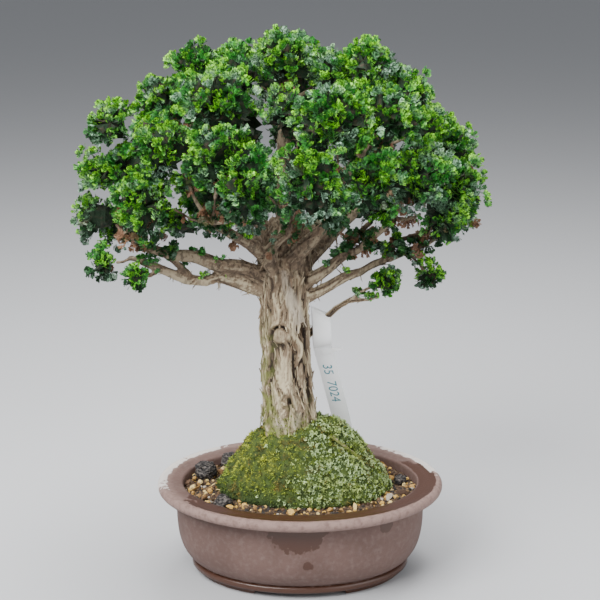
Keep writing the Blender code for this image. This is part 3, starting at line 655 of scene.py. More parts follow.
def new_tree(name, inputs):
    """A Geometry Nodes tree with named inputs; gives the tree, its inputs and the end to link to."""
    tree = bpy.data.node_groups.new(name, "GeometryNodeTree")
    tree.interface.new_socket("Geometry", in_out="INPUT", socket_type="NodeSocketGeometry")
    for label, kind in inputs.items():
        tree.interface.new_socket(label, in_out="INPUT", socket_type="NodeSocket" + kind)
    tree.interface.new_socket("Geometry", in_out="OUTPUT", socket_type="NodeSocketGeometry")
    return tree, add(tree, "NodeGroupInput").outputs, add(tree, "NodeGroupOutput").inputs[0]


def grow(obj, tree, values):
    """Runs a Geometry Nodes tree on an object and keeps the result as its mesh."""
    modifier = obj.modifiers.new("grow", "NODES")
    modifier.node_group = tree
    for item in tree.interface.items_tree:
        if item.in_out == "INPUT" and item.name in values:
            modifier[item.identifier] = values[item.name]
    return made_mesh(obj)


def random_field(tree, low, high, seed, kind="FLOAT"):
    """A random value for each point: a number, a whole number or a vector."""
    made = add(tree, "FunctionNodeRandomValue", data_type=kind)
    sockets = [s for s in made.inputs if s.enabled and s.name in ("Min", "Max")]
    sockets[0].default_value, sockets[1].default_value = low, high
    next(s for s in made.inputs if s.name == "Seed").default_value = seed
    return next(s for s in made.outputs if s.enabled)


def vector_math(tree, operation, first, second, output="Vector"):
    inputs = {0: first, 1: second}
    return add(tree, "ShaderNodeVectorMath", inputs, operation=operation).outputs[output]


def sum_of(tree, *terms):
    """Adds vectors, each given with its weight."""
    total = None
    for socket, weight in terms:
        inputs = {0: socket, "Scale": weight}
        part = add(tree, "ShaderNodeVectorMath", inputs, operation="SCALE").outputs[0]
        total = part if total is None else vector_math(tree, "ADD", total, part)
    return total


def unit(tree, socket):
    return add(tree, "ShaderNodeVectorMath", {0: socket}, operation="NORMALIZE").outputs[0]


def aimed(tree, direction):
    """Rotation that points local Z along a direction."""
    return add(tree, "FunctionNodeAlignRotationToVector", {"Vector": direction}, axis="Z").outputs[0]


def spun(tree, rotation):
    """The rotation with a random turn about its own Z."""
    turn = random_field(tree, -math.pi, math.pi, SEED_TURN)
    spin = add(tree, "ShaderNodeCombineXYZ", {"Z": turn}).outputs[0]
    spin = add(tree, "FunctionNodeEulerToRotation", {0: spin}).outputs[0]
    inputs = {"Rotation": rotation, "Rotate By": spin}
    return add(tree, "FunctionNodeRotateRotation", inputs, rotation_space="LOCAL").outputs[0]


def strewn(tree, mesh, crowd, density, seed, spacing=None):
    """Points over a mesh at random, or at least a spacing apart."""
    if spacing is None:
        inputs, method = {"Density": math_of(tree, "MULTIPLY", crowd, density)}, "RANDOM"
    else:
        inputs, method = {"Distance Min": spacing, "Density Max": density, "Density Factor": crowd}, "POISSON"
    inputs.update({"Mesh": mesh, "Seed": seed})
    return add(tree, "GeometryNodeDistributePointsOnFaces", inputs, distribute_method=method).outputs


def placed_on(tree, points, shapes, count, turn, size):
    """One of the shapes on each point, picked at random."""
    inputs = {0: shapes, "Separate Children": True, "Reset Children": True}
    return add(tree, "GeometryNodeInstanceOnPoints", {
        "Points": points, "Instance": add(tree, "GeometryNodeCollectionInfo", inputs).outputs[0],
        "Pick Instance": True, "Instance Index": random_field(tree, 0, count - 1, SEED_PICK, "INT"),
        "Rotation": turn, "Scale": size,
    }).outputs[0]


def stored(tree, geometry, name, value, domain="INSTANCE"):
    """Keeps a field for the materials to read."""
    inputs = {"Geometry": geometry, "Name": name, "Value": value}
    return add(tree, "GeometryNodeStoreNamedAttribute", inputs, domain=domain).outputs[0]


def realized(tree, placed, material):
    made = add(tree, "GeometryNodeRealizeInstances", {0: placed}).outputs[0]
    return add(tree, "GeometryNodeSetMaterial", {"Geometry": made, "Material": material}).outputs[0]


def random_aim(tree):
    return random_field(tree, (-1, -1, -1), (1, 1, 1), SEED_WANDER, "FLOAT_VECTOR")


def hidden_collection(name, objects):
    """A collection of shapes to place; they leave with forget() once they have been used."""
    group = bpy.data.collections.new(name)
    for obj in objects:
        for other in list(obj.users_collection):
            other.objects.unlink(obj)
        group.objects.link(obj)
    return group


def forget(group, *trees):
    for obj in list(group.objects):
        bpy.data.objects.remove(obj)
    bpy.data.collections.remove(group)
    for tree in trees:
        bpy.data.node_groups.remove(tree)


def kite(points, faces, tips, root, end, width, normal, low, high):
    """A small four-sided leaf from root to end, widest past its middle and cupped a little."""
    run = end - root
    side = run.cross(normal).normalized() * width / 2
    waist = root + run * 0.58 - normal * width * 0.12
    start = len(points)
    points += [root, waist + side, end, waist - side]
    tips += [low, (low + high) / 2, high, (low + high) / 2]
    faces.append((start, start + 1, start + 2, start + 3))


FAN_LOBES = ((0.26, 0.34), (0.46, 0.42), (0.66, 0.4), (0.82, 0.3))
FAN_CUP = 0.35
TUFT_LEANS = (8, 34, 64, 38, 66, 30, 60)


def frond(points, faces, tips, base, length, chance):
    """One fan of scale leaves: lobes on both sides of a curved rib; base is its root and axes."""
    normal = (base.to_3x3() @ Vector((0, -0.5, 1))).normalized()
    for share, reach in FAN_LOBES:
        root = Vector((0, length * share, FAN_CUP * length * share * share))
        for side in (-1, 1):
            angle = math.radians(chance.uniform(30, 58))
            run = Vector((side * math.sin(angle), math.cos(angle), chance.uniform(0.1, 0.7)))
            end = root + run * reach * length * chance.uniform(0.85, 1.15)
            low = 0.75 * share
            high = min(1.0, low + 0.5)
            kite(points, faces, tips, base @ root, base @ end, 0.25 * length, normal, low, high)
    root = Vector((0, 0.62 * length, FAN_CUP * length * 0.4))
    end = Vector((0, length, FAN_CUP * length))
    kite(points, faces, tips, base @ root, base @ end, 0.27 * length, normal, 0.55, 1.0)


def tuft(name, length, chance):
    """A cupped whorl of fronds, as hinoki sprays end in."""
    points, faces, tips = [], [], []
    for k, lean in enumerate(TUFT_LEANS):
        turn = 2 * math.pi * (k + chance.uniform(-0.25, 0.25)) / (len(TUFT_LEANS) - 1)
        base = (
            Matrix.Rotation(turn, 4, "Z") @ Matrix.Rotation(math.radians(90 - lean), 4, "X")
            @ Matrix.Rotation(chance.uniform(-0.8, 0.8), 4, "Y")
        )
        frond(points, faces, tips, base, length * chance.uniform(0.82, 1.12), chance)
    obj = mesh_object(name, points, faces)
    paint(obj, "tip", tips)
    return obj


def foliage_tree(loose=False):
    """Sets tufts of fronds over a spray's solid, or on loose points, pointing out and up; over a solid it
    also keeps the solid, drawn in, as a dark body of painted shade.
    """
    tree, get, end = new_tree("scale_leaf_tufts", {
        "Tufts": "Collection", "Spacing": "Float", "Size": "Float", "Sink": "Float", "Swell": "Float",
        "Middle": "Vector", "Heart": "Vector", "Draw": "Float", "Seed": "Int", "Leaf": "Material",
        "Inner": "Material",
    })
    spot = add(tree, "GeometryNodeInputPosition").outputs[0]
    from_middle = vector_math(tree, "SUBTRACT", spot, get["Middle"])
    out, open_side = unit(tree, from_middle), unit(tree, vector_math(tree, "SUBTRACT", spot, get["Heart"]))
    points = get["Geometry"]
    if not loose:
        facing = vector_math(tree, "DOT_PRODUCT", out, open_side, "Value")
        inputs = {"Value": facing, "From Min": -0.62, "From Max": 0.0, "To Min": 0.1}
        crowd = add(tree, "ShaderNodeMapRange", inputs).outputs["Result"]
        points = strewn(tree, points, crowd, TUFT_DENSITY, get["Seed"], get["Spacing"])["Points"]
    # Crest: clumps stand out and hollows sink; the leaf material also paints the hollows darker, as painted
    # shade
    lumps = add(tree, "ShaderNodeTexNoise", {"Vector": spot, "Scale": 50.0, "Detail": 1.0}).outputs["Fac"]
    inputs = {"Value": lumps, "From Min": 0.36, "From Max": 0.62}
    crest = add(tree, "ShaderNodeMapRange", inputs).outputs["Result"]
    points = stored(tree, points, "crest", crest, "POINT")
    hollow = math_of(tree, "SUBTRACT", 1.0, crest)
    drop = math_of(tree, "MULTIPLY_ADD", hollow, get["Swell"], get["Sink"])
    offset = sum_of(tree, (out, math_of(tree, "MULTIPLY", drop, -1.0)))
    points = add(tree, "GeometryNodeSetPosition", {"Geometry": points, "Offset": offset}).outputs[0]
    up = add(tree, "ShaderNodeCombineXYZ", {"Z": 1.0}).outputs[0]
    aim = unit(tree, sum_of(tree, (out, 0.85), (open_side, 0.35), (up, 0.35), (random_aim(tree), 0.4)))
    size = math_of(tree, "MULTIPLY", random_field(tree, 0.76, 1.22, SEED_SIZE), get["Size"])
    leaves = placed_on(tree, points, get["Tufts"], TUFT_KINDS, spun(tree, aimed(tree, aim)), size)
    # sun, how far a tuft faces up, sets the painted light and shade of the leaf material
    leaves = stored(tree, leaves, "sun", add(tree, "ShaderNodeSeparateXYZ", {0: aim}).outputs["Z"])
    leaves = stored(tree, leaves, "luck", random_field(tree, 0.0, 1.0, SEED_LUCK))
    leaves = realized(tree, leaves, get["Leaf"])
    if loose:
        tree.links.new(leaves, end)
        return tree
    # Painted shade: the spray's solid, drawn in, with the dark inner material
    inputs = {"Geometry": get["Geometry"], "Offset": sum_of(tree, (from_middle, get["Draw"]))}
    body = add(tree, "GeometryNodeSetPosition", inputs).outputs[0]
    body = add(tree, "GeometryNodeSetMaterial", {"Geometry": body, "Material": get["Inner"]}).outputs[0]
    both = add(tree, "GeometryNodeJoinGeometry")
    for piece in (leaves, body):
        tree.links.new(piece, both.inputs[0])
    tree.links.new(both.outputs[0], end)
    return tree


class BONSAI_OT_foliage(bpy.types.Operator):
    """Covers every spray with tufts of scale leaves"""

    bl_idname = "bonsai.foliage"
    bl_label = "Foliage"

    def execute(self, context):
        s = context.scene.bonsai_foliage
        chance = random.Random(21)
        tufts = [tuft("tuft_%d" % k, s.frond, chance) for k in range(TUFT_KINDS)]
        group = hidden_collection("tufts", tufts)
        tree, loose = foliage_tree(), foliage_tree(True)
        values = {
            "Tufts": group, "Spacing": s.spacing, "Size": 1.0, "Sink": s.sink, "Swell": s.swell,
            "Heart": place(CROWN_HEART), "Leaf": scale_leaves(), "Inner": inner_leaves(),
        }
        for k, node in enumerate(SPRAY_NODES):
            obj = copy_of(node, node.replace("spray", "leaves"))
            points = points_of(obj)
            middle = ((points.min(0) + points.max(0)) / 2).tolist()
            heart = middle if "hanging" in node or "small" in node else values["Heart"]
            behind = "back" in node or "hollow" in node
            drawn_in = DRAWN_IN_BEHIND if behind else DRAWN_IN
            grow(obj, tree, {**values, "Middle": middle, "Heart": heart, "Draw": drawn_in, "Seed": k})
            self.hold_inside(obj)
            settle(obj, [node])
        strays = mesh_object("stray_tufts", self.stray_points(chance), [])
        below = place(STRAYS_FACE_FROM)
        values.update({"Size": STRAY_SIZE, "Sink": 0.0, "Swell": 0.0, "Middle": below, "Seed": 0})
        grow(strays, loose, values)
        settle(strays)
        wood = bpy.data.objects["bark_trunk_and_limbs"]
        near = nearest_axis(points_of(wood))
        high = from_foot(points_of(wood))[:, 2]
        thin = np.clip((TWIG_RADIUS * MM - near[:, 9]) / 0.002, 0, 1)
        crowd = thin * np.clip((high - TWIGS_FROM) / 20, 0, 1)
        # Inner tufts carry no crest or sun, so the leaf material gives them mostly the painted shade colour
        tufts = [tuft("inner_%d" % k, s.frond, chance) for k in range(4)]
        leaf, sizes = values["Leaf"], (0.8, 1.5, 0.0)
        inner = cover(wood, "inner_tufts", tufts, crowd, sizes, leaf, s.inner, wander=1.0)
        self.hold_inside(inner)
        forget(group, tree, loose)
        return {"FINISHED"}

    def hold_inside(self, obj):
        """Draws leaf points that stand outside the solids' box back to its sides."""
        low, high = (np.array(corner) for corner in CAD_BOX)
        move_points(obj, np.clip(points_of(obj), low, high))

    def stray_points(self, chance):
        """Places of single tufts on the upper side of the bare limbs."""
        found = []
        for limb, share, count in STRAYS:
            points, ends = LIMBS[limb]
            at = share * (len(points) - 1)
            k = min(int(at), len(points) - 2)
            middle = Vector(points[k]).lerp(Vector(points[k + 1]), at - k)
            radius = ends[0] + (ends[1] - ends[0]) * share ** 0.8
            for _ in range(count):
                spread = Vector((chance.uniform(-7, 7), chance.uniform(-0.9, 0.1) * radius, radius * 0.75))
                found.append(place(middle + spread))
        return found


def axis_samples():
    """Points along every axis of trunk and limbs, each with its direction, side and radius."""
    routes = [TRUNK]
    for points, (first, last) in LIMBS.values():
        shares = [k / (len(points) - 1) for k in range(len(points))]
        routes.append([(p, first + (last - first) * share ** 0.8) for p, share in zip(points, shares)])
    rows = []
    for route in routes:
        centres = [place(row[0]) for row in route]
        side, length = None, 0.0
        for k in range(len(route) - 1):
            run = centres[k + 1] - centres[k]
            ahead = run.normalized()
            side = side or ahead.cross(Vector((0.3, 1.0, 0.2))).normalized()
            side = (side - ahead * side.dot(ahead)).normalized()
            steps = max(2, int(run.length / 0.006))
            for j in range(steps):
                share = j / steps
                radius = (route[k][1] + (route[k + 1][1] - route[k][1]) * share) * MM
                rows.append([*(centres[k] + run * share), *ahead, *side, radius, length + run.length * share])
            length += run.length
    return np.array(rows)


def nearest_axis(points):
    """For each point, the axis sample whose surface is nearest."""
    rows = axis_samples()
    found = np.empty(len(points), int)
    for start in range(0, len(points), 4000):
        block = points[start:start + 4000]
        gap = np.linalg.norm(block[:, None, :] - rows[None, :, :3], axis=2) - rows[None, :, 9]
        found[start:start + 4000] = np.abs(gap).argmin(1)
    return rows[found]


def bark_relief(points, near, furrow_gap):
    """Height of the bark over the wood at each point: wavy furrows that run along each limb."""
    rel = points - near[:, :3]
    ahead, side = near[:, 3:6], near[:, 6:9]
    other = np.cross(ahead, side)
    along = near[:, 10] + (rel * ahead).sum(1)
    angle = np.arctan2((rel * other).sum(1), (rel * side).sum(1)) + along * 3.0
    turns = near[:, 9] / furrow_gap
    heights = np.empty(len(points))
    for k in range(len(points)):
        round_wood = Vector((math.cos(angle[k]), math.sin(angle[k]), along[k] / 0.03))
        around = angle[k] + 0.42 * noise.noise(round_wood)
        wide = Vector((math.cos(around) * turns[k], math.sin(around) * turns[k], along[k] / 0.07))
        sway = noise.noise(wide * 0.45 + Vector((7, 1, 3)))
        first = noise.noise(wide + Vector((sway, sway, 0)))
        second = noise.noise(Vector((wide.x * 2.2, wide.y * 2.2, wide.z * 1.9)) + Vector((3, 9, 4)))
        broad = noise.noise(Vector((wide.x * 0.36, wide.y * 0.36, wide.z * 0.8)) + Vector((1, 2, 8)))
        furrow = math.exp(-(first / 0.12) ** 2) + 0.5 * math.exp(-(second / 0.1) ** 2)
        heights[k] = 0.4 * abs(first) + 0.25 * second + 0.55 * broad - 0.75 * furrow
    return heights


def scar_relief(points):
    """Pruning scar and hollows on the trunk's front: how far they stand out in metres, and how dark."""
    local = from_foot(points)
    x, z = local[:, 0] - KNOT[0], local[:, 2] - KNOT[1]
    front = (local[:, 1] < FRONT_FACE) & (local[:, 2] < CROTCH)
    span = np.hypot(x, z)
    boss = 1.6 * np.exp(-(span / 7.5) ** 4) + 0.5 * np.cos(span * 2.4) * np.exp(-(span / 6) ** 4)
    slot = np.exp(-((span - 7.6) / 1.5) ** 2) * np.clip(z / 4, 0, 1)
    lips = 2.0 * np.exp(-((span - 10.4) / 1.4) ** 2) * np.clip(z / 5, 0, 1)
    chin = 1.9 * np.exp(-((span - 8.6) / 2.0) ** 2) * np.clip(-z / 5, 0, 1)
    out, dark = boss + lips + chin - 5.5 * slot, slot.copy()
    for side, height, wide, tall, depth in HOLLOWS:
        off = ((local[:, 0] - side) / wide) ** 2 + ((local[:, 2] - height) / tall) ** 2
        share = np.exp(-(off ** 1.4))
        out -= depth * share
        dark = np.maximum(dark, share)
    return np.where(front, out * MM, 0.0), np.where(front, dark, 0.0)


def peel(name, chance):
    """A strip of bark one unit long, stuck at its middle and lifting at one end or both."""
    lift = (chance.uniform(0.03, 0.16), chance.uniform(-0.01, 0.06))
    bend = chance.uniform(-0.08, 0.08)
    points, faces = [], []
    steps = 6
    for k in range(steps + 1):
        x = k / steps - 0.5
        half = 0.055 * (1 - 0.75 * (2 * abs(x)) ** 2) + 0.004
        z = lift[0 if x > 0 else 1] * (2 * abs(x)) ** 2
        y = bend * (1 - 4 * x * x)
        points += [(x, y - half, z), (x, y + half, z + 0.012), (x, y, z + 0.045)]
    for k in range(steps):
        a, b = 3 * k, 3 * k + 3
        faces += [(a, b, b + 1, a + 1), (a + 1, b + 1, b + 2, a + 2), (a + 2, b + 2, b, a)]
    faces += [(0, 1, 2), (3 * steps, 3 * steps + 2, 3 * steps + 1)]
    obj = outward(mesh_object(name, points, faces))
    paint(obj, "bark_height", [chance.uniform(0.3, 0.75)] * len(points))
    return obj


def spur(name, chance):
    """A dead spur one unit long: a crooked tapered twig with a side snag."""
    points, faces = [], []
    for start, aim, length, radius in ((Vector((0, 0, -0.15)), Vector((0, 0, 1)), 1.1, 0.11),
                                       (Vector((0, 0, 0.4)), Vector((0.9, 0.2, 0.6)), 0.45, 0.06)):
        at, first = start, len(points)
        for k in range(4):
            share = k / 3
            for i in range(3):
                turn = 2 * math.pi * i / 3
                rim = Vector((math.cos(turn), math.sin(turn), 0)) * radius * (1 - 0.8 * share)
                points.append(at + rim)
            crook = Vector((chance.uniform(-0.1, 0.1), chance.uniform(-0.1, 0.1), 0))
            at = at + aim.normalized() * length / 3 + crook
        for k in range(3):
            a = first + 3 * k
            faces += [(a + i, a + (i + 1) % 3, a + 3 + (i + 1) % 3, a + 3 + i) for i in range(3)]
        faces += [(first, first + 2, first + 1), (first + 9, first + 10, first + 11)]
    obj = outward(mesh_object(name, points, faces))
    paint(obj, "bark_height", [chance.uniform(0.25, 0.6)] * len(points))
    return obj


class BONSAI_OT_wood(bpy.types.Operator):
    """Refines trunk, limbs and twigs, cuts the furrows of the bark and adds loose strips and spurs"""

    bl_idname = "bonsai.wood"
    bl_label = "Wood"

    def execute(self, context):
        s = context.scene.bonsai_wood
        obj = refined("trunk_and_limbs", "bark_trunk_and_limbs", s.voxel, 3)
        points, normals = points_of(obj), normals_of(obj)
        near = nearest_axis(points)
        heights = bark_relief(points, near, s.furrow)
        depth = s.depth * np.clip(near[:, 9] / (FULL_RADIUS * MM), LEAST_DEPTH, 1.0)
        scars, dark = scar_relief(points)
        local = from_foot(points)
        span = np.hypot(local[:, 0] - KNOT[0], local[:, 2] - KNOT[1])
        calm = np.where(local[:, 1] < FRONT_FACE, np.exp(-(span / 12) ** 4), 0)
        heights = heights * (1 - 0.85 * calm)
        points += normals * (heights * depth + scars)[:, None]
        on_root = (local[:, 0] > ROOT_FROM) & (local[:, 2] < ROOT_TOP)
        points -= normals * (ROOT_SUNK * MM * on_root)[:, None]
        points[:, 2] = np.maximum(points[:, 2], 0.02)
        move_points(obj, points)
        # bark_height sets the colour: darker in furrows and hollows, partly painted shade
        paint(obj, "bark_height", np.clip(0.6 + 0.7 * heights - 0.8 * dark, 0, 1.2))
        self.tint(obj, from_foot(points))
        finish = bark()
        chance = random.Random(14)
        strong = np.clip((near[:, 9] - 0.008) / 0.006, 0, 1) * (calm < 0.3)
        strong *= points[:, 2] > STRIPS_FROM * MM
        ahead = near[:, 3:6]
        peels = [peel("peel_%d" % k, chance) for k in range(6)]
        sizes = (0.007, 0.026, -0.0003)
        cover(obj, "bark_strips", peels, strong, sizes, finish, s.strips, wander=0.12, ahead=ahead)
        weak = np.clip((0.0115 - near[:, 9]) / 0.003, 0, 1) * (points[:, 2] > SPURS_FROM * MM)
        spurs = [spur("spur_%d" % k, chance) for k in range(5)]
        cover(obj, "dead_spurs", spurs, weak, (0.004, 0.013, 0.0), finish, s.spurs)
        shoots = [moss_shoot("creeper_%d" % k, chance) for k in range(3)]
        patch = lumpy(points, 1.0, 0.012, (5, 2, 1))
        foot = np.clip((CREEP_TO - local[:, 2]) / CREEP_FADE, 0, 1)
        foot = np.clip(foot * (0.9 + 2.2 * patch) - 0.25, 0, 1)
        foot *= (points[:, 2] > CREEP_FROM * MM) * (points[:, 2] < CREEP_TO * MM)
        sizes = (0.0014, 0.0034, 0.0)
        cover(obj, "creeping_moss", shoots, foot, sizes, moss_growth(), s.creeping, wander=0.8)
        settle(obj, ["trunk_and_limbs"], [finish])
        return {"FINISHED"}

    def tint(self, obj, local):
        """Where the bark is off, worn or green, and where painted shade darkens the limbs under the crown."""
        x, y, z = local[:, 0], local[:, 1], local[:, 2]
        (x0, z0), (x1, z1) = BARE_STRIP
        t = np.clip((z0 - z) / (z0 - z1), 0, 1)
        off = np.abs(x - (x0 + (x1 - x0) * t)) / (3.2 + 3.0 * t)
        bare = np.where((z > z1) & (z < z0) & (y < -8), np.clip(1.5 - off, 0, 1), 0)
        for side, height in WORN_TOES:
            span = ((x - side) / 5) ** 2 + ((z - height) / 7) ** 2
            bare = np.maximum(bare, np.where(y < -8, 0.9 * np.exp(-span), 0))
        paint(obj, "bare", bare)
        low = np.clip((205 - z) / 60, 0, 1)
        left = np.clip((-18 - x) / 14, 0, 1) * np.clip((300 - z) / 80, 0, 1)
        on_root = 2.0 * ((z < 162) & (x > 16))
        paint(obj, "algae", np.clip(0.7 * low + 0.75 * left, 0, 0.9) + on_root)
        # Painted shade: limb rises with height, where the limbs sit under the crown
        paint(obj, "limb", np.clip((z - 296) / 40, 0, 1))


def oval(inset, height):
    """A ring of the pot's oval, drawn in from the lip's edge."""
    ring = []
    for i in range(POT_SIDES):
        angle = 2 * math.pi * i / POT_SIDES
        x, y = (POT_HALF_LENGTH - inset) * math.cos(angle), (POT_HALF_WIDTH - inset) * math.sin(angle)
        ring.append(place((x, y, height)))
    return ring


def curve_through(points, steps):
    """Catmull-Rom curve through pairs of numbers."""
    p = [Vector(q).to_3d() for q in points]
    p = [2 * p[0] - p[1], *p, 2 * p[-1] - p[-2]]
    made = []
    for k in range(1, len(p) - 2):
        for j in range(steps):
            t = j / steps
            made.append(0.5 * (
                2 * p[k] + (p[k + 1] - p[k - 1]) * t
                + (2 * p[k - 1] - 5 * p[k] + 4 * p[k + 1] - p[k + 2]) * t * t
                + (3 * p[k] - p[k - 1] - 3 * p[k + 1] + p[k + 2]) * t ** 3
            ))
    return [(q.x, q.y) for q in [*made, p[-2]]]


def rings_mesh(name, rings, smooth=True):
    """A closed surface through rings, with flat ends."""
    count = len(rings[0])
    points = [p for ring in rings for p in ring]
    faces = []
    for k in range(len(rings) - 1):
        low, high = k * count, (k + 1) * count
        faces += [(low + i, low + (i + 1) % count, high + (i + 1) % count, high + i) for i in range(count)]
    faces += [tuple(range(count)), tuple(range(len(points) - count, len(points)))]
    return outward(mesh_object(name, points, faces, smooth))


def pot_profile():
    """Half section of the pot as (inset from the lip's edge, height), from under the floor to over it."""
    under = [(70, 8), (49.5, 8), (48.6, 7.4), (48, 0.6), (47.4, 0)]
    under += [(42.0, 0), (41.5, 0.6), (40.5, 5.6), (39.6, FOOT_HEIGHT)]
    belt = [(36.4, 6.3), (35.2, 7.2), (34.8, 8.6), (34.7, 11.2), (35.3, 12.6), (36.6, 13.4), (38.0, 13.8)]
    body = curve_through([(38.0, 14.0), (31.5, 19.5), (25.0, 30), (21.0, 45), (19.5, 66), (20.4, 86.6)], 7)
    neck = [(19.6, 87.8), (18.0, 88.3), (8.5, 88.5)]
    turns = [math.radians(angle) for angle in range(285, 94, -13)]
    bead = [(BEAD_RADIUS * (1 + math.cos(a)), BEAD_HEIGHT + BEAD_RADIUS * math.sin(a)) for a in turns]
    top = [(8.0, 99.2), (8.8, 98.9), (16.0, 98.7), (24.0, 98.4), (25.8, 97.8), (26.6, 96.6), (27.0, 94)]
    inside = [(27.5, 86), (28, 42), (30, 32), (34.5, 24), (40, 19), (46, 16), (70, 16)]
    return under + belt + body + neck + bead + top + inside


def foot_gap(width, reach, along_x):
    """Cutter with slanted ends that leaves feet on both sides of a gap."""
    half = width / 2
    top = half - FOOT_GAP_SLANT
    section = [(-half, -3), (half, -3), (top, FOOT_HEIGHT), (-top, FOOT_HEIGHT)]
    ends = [
        [place((a, u, v)) if along_x else place((u, a, v)) for u, v in section] for a in (-reach, reach)
    ]
    return rings_mesh("gap", ends, False)


def mark(x, z, side, height, half_width, half_height):
    """1 in an oval spot on the pot's wall, falling to 0 at its edge."""
    off = np.sqrt(((x - side) / half_width) ** 2 + ((z - height) / half_height) ** 2)
    return np.clip(1.3 - off, 0, 1) * 1.5


class BONSAI_OT_pot(bpy.types.Operator):
    """Turns the stoneware pot with its rolled lip, belt and cut feet"""

    bl_idname = "bonsai.pot"
    bl_label = "Pot"

    def execute(self, context):
        obj = rings_mesh("stoneware_pot", [oval(inset, height) for inset, height in pot_profile()])
        cutters = [foot_gap(FOOT_GAP_FRONT, 260, False), foot_gap(FOOT_GAP_SIDE, 320, True)]
        for x in (-DRAIN_X, DRAIN_X):
            rings = [
                [place((x + DRAIN_RADIUS * math.cos(a), DRAIN_RADIUS * math.sin(a), z))
                 for a in [2 * math.pi * i / 40 for i in range(40)]]
                for z in (4, 20)
            ]
            cutters.append(rings_mesh("drain", rings, False))
        group = hidden_collection("pot_cutters", cutters)
        cut = obj.modifiers.new("cut", "BOOLEAN")
        cut.operand_type, cut.collection, cut.operation = "COLLECTION", group, "DIFFERENCE"
        made_mesh(obj)
        forget(group)
        obj.data.shade_smooth()
        obj.data.set_sharp_from_angle(angle=math.radians(38))
        self.weather(obj)
        settle(obj, ["pot"], [stoneware()])
        return {"FINISHED"}

    def weather(self, obj):
        """Where water stands on the clay, where the bead is paler clay with a painted highlight, and where
        scale has dried on.
        """
        p = from_foot(points_of(obj))
        x, y, z = p[:, 0], p[:, 1], p[:, 2]
        ring = np.sqrt((x / POT_HALF_LENGTH) ** 2 + (y / POT_HALF_WIDTH) ** 2)
        flat = np.clip((z - 97.6) / 0.6, 0, 1) * np.clip((0.965 - ring) / 0.015, 0, 1)
        side, depth = x / POT_HALF_LENGTH, y / POT_HALF_WIDTH
        around = np.clip((0.5 - depth) / 0.25, 0, 1) * np.clip((side + 0.9) / 0.3, 0, 1)
        foot = 0.8 * np.clip((15 - z) / 2, 0, 1)
        marks = mark(x, z, -3, 88, 32, 30) + mark(x, z, 8, 44, 6, 5.5) + mark(x, z, 88, 78, 7, 8)
        drips = np.where((y < -60) & (z < 88.4), np.clip(marks, 0, 0.75), 0)
        paint(obj, "wet", np.maximum.reduce([0.78 * flat * np.clip(around + 0.15, 0, 1), foot, drips]))
        rim = np.clip((z - 88) / 3, 0, 1) * np.clip((ring - 0.9) / 0.03, 0, 1)
        left = np.clip((-0.35 - side) / 0.3, 0, 1) * np.clip((depth + 0.5) / 0.4, 0, 1)
        right = np.clip((side - 0.45) / 0.2, 0, 1) * np.clip((depth + 0.1) / 0.3, 0, 1)
        paint(obj, "scale", 0.62 * rim * np.clip(left + right, 0, 1) + 0.12 * rim)
        # bead: paler clay on the lip's bead, partly a painted highlight from the light above
        paint(obj, "bead", rim)


def scatter_tree(name, kinds, wander_share, poisson=False, along=False):
    """Sets small shapes over a mesh where its "crowd" attribute is high."""
    tree, get, end = new_tree(name, {
        "Shapes": "Collection", "Density": "Float", "Spacing": "Float", "Small": "Float", "Large": "Float",
        "Sink": "Float", "Seed": "Int", "Material": "Material",
    })
    crowd, run = (
        add(tree, "GeometryNodeInputNamedAttribute", {"Name": label}, data_type=kind).outputs["Attribute"]
        for label, kind in (("crowd", "FLOAT"), ("ahead", "FLOAT_VECTOR"))
    )
    spacing = get["Spacing"] if poisson else None
    spread = strewn(tree, get["Geometry"], crowd, get["Density"], get["Seed"], spacing)
    aim = unit(tree, sum_of(tree, (spread["Normal"], 1.0), (random_aim(tree), wander_share)))
    span = math_of(tree, "SUBTRACT", get["Large"], get["Small"])
    draw = math_of(tree, "POWER", random_field(tree, 0.0, 1.0, SEED_SIZE), 2.0)
    size = math_of(tree, "MULTIPLY_ADD", draw, span, get["Small"])
    turn = aimed(tree, aim)
    if along:
        sway = random_field(tree, (-1, -1, -1), (1, 1, 1), SEED_SWAY, "FLOAT_VECTOR")
        inputs = {"Rotation": turn, "Vector": sum_of(tree, (run, 1.0), (sway, 0.2))}
        turn = add(tree, "FunctionNodeAlignRotationToVector", inputs, axis="X", pivot_axis="Z").outputs[0]
    else:
        turn = spun(tree, turn)
    placed = placed_on(tree, spread["Points"], get["Shapes"], kinds, turn, size)
    inputs = {0: placed, "Translation": add(tree, "ShaderNodeCombineXYZ", {"Z": get["Sink"]}).outputs[0],
              "Local Space": False}
    placed = add(tree, "GeometryNodeTranslateInstances", inputs).outputs[0]
    placed = stored(tree, placed, "luck", random_field(tree, 0.0, 1.0, SEED_LUCK))
    tree.links.new(realized(tree, placed, get["Material"]), end)
    return tree


def cover(
    under, name, shapes, crowd, sizes, material, count=0, spacing=0.0, wander=0.9, ahead=None, seed=3,
):
    """One piece of small shapes where a mesh is crowded: so many of them, or at a spacing."""
    obj = bpy.data.objects.new(name, under.data.copy())
    bpy.context.scene.collection.objects.link(obj)
    paint(obj, "crowd", crowd)
    if ahead is not None:
        layer = obj.data.attributes.new("ahead", "FLOAT_VECTOR", "POINT")
        layer.data.foreach_set("vector", ahead.astype(np.float32).ravel())
    if spacing:
        density = GRAIN_CROWDING / spacing ** 2
    else:
        area = sum(p.area for p in obj.data.polygons)
        density = count / (area * max(0.01, float(np.mean(crowd))))
    group = hidden_collection(name + "_shapes", shapes)
    tree = scatter_tree(name + "_tree", len(shapes), wander, spacing > 0, ahead is not None)
    grow(obj, tree, {
        "Shapes": group, "Density": density, "Spacing": spacing, "Small": sizes[0], "Large": sizes[1],
        "Sink": sizes[2], "Seed": seed, "Material": material,
    })
    forget(group, tree)
    return settle(obj)


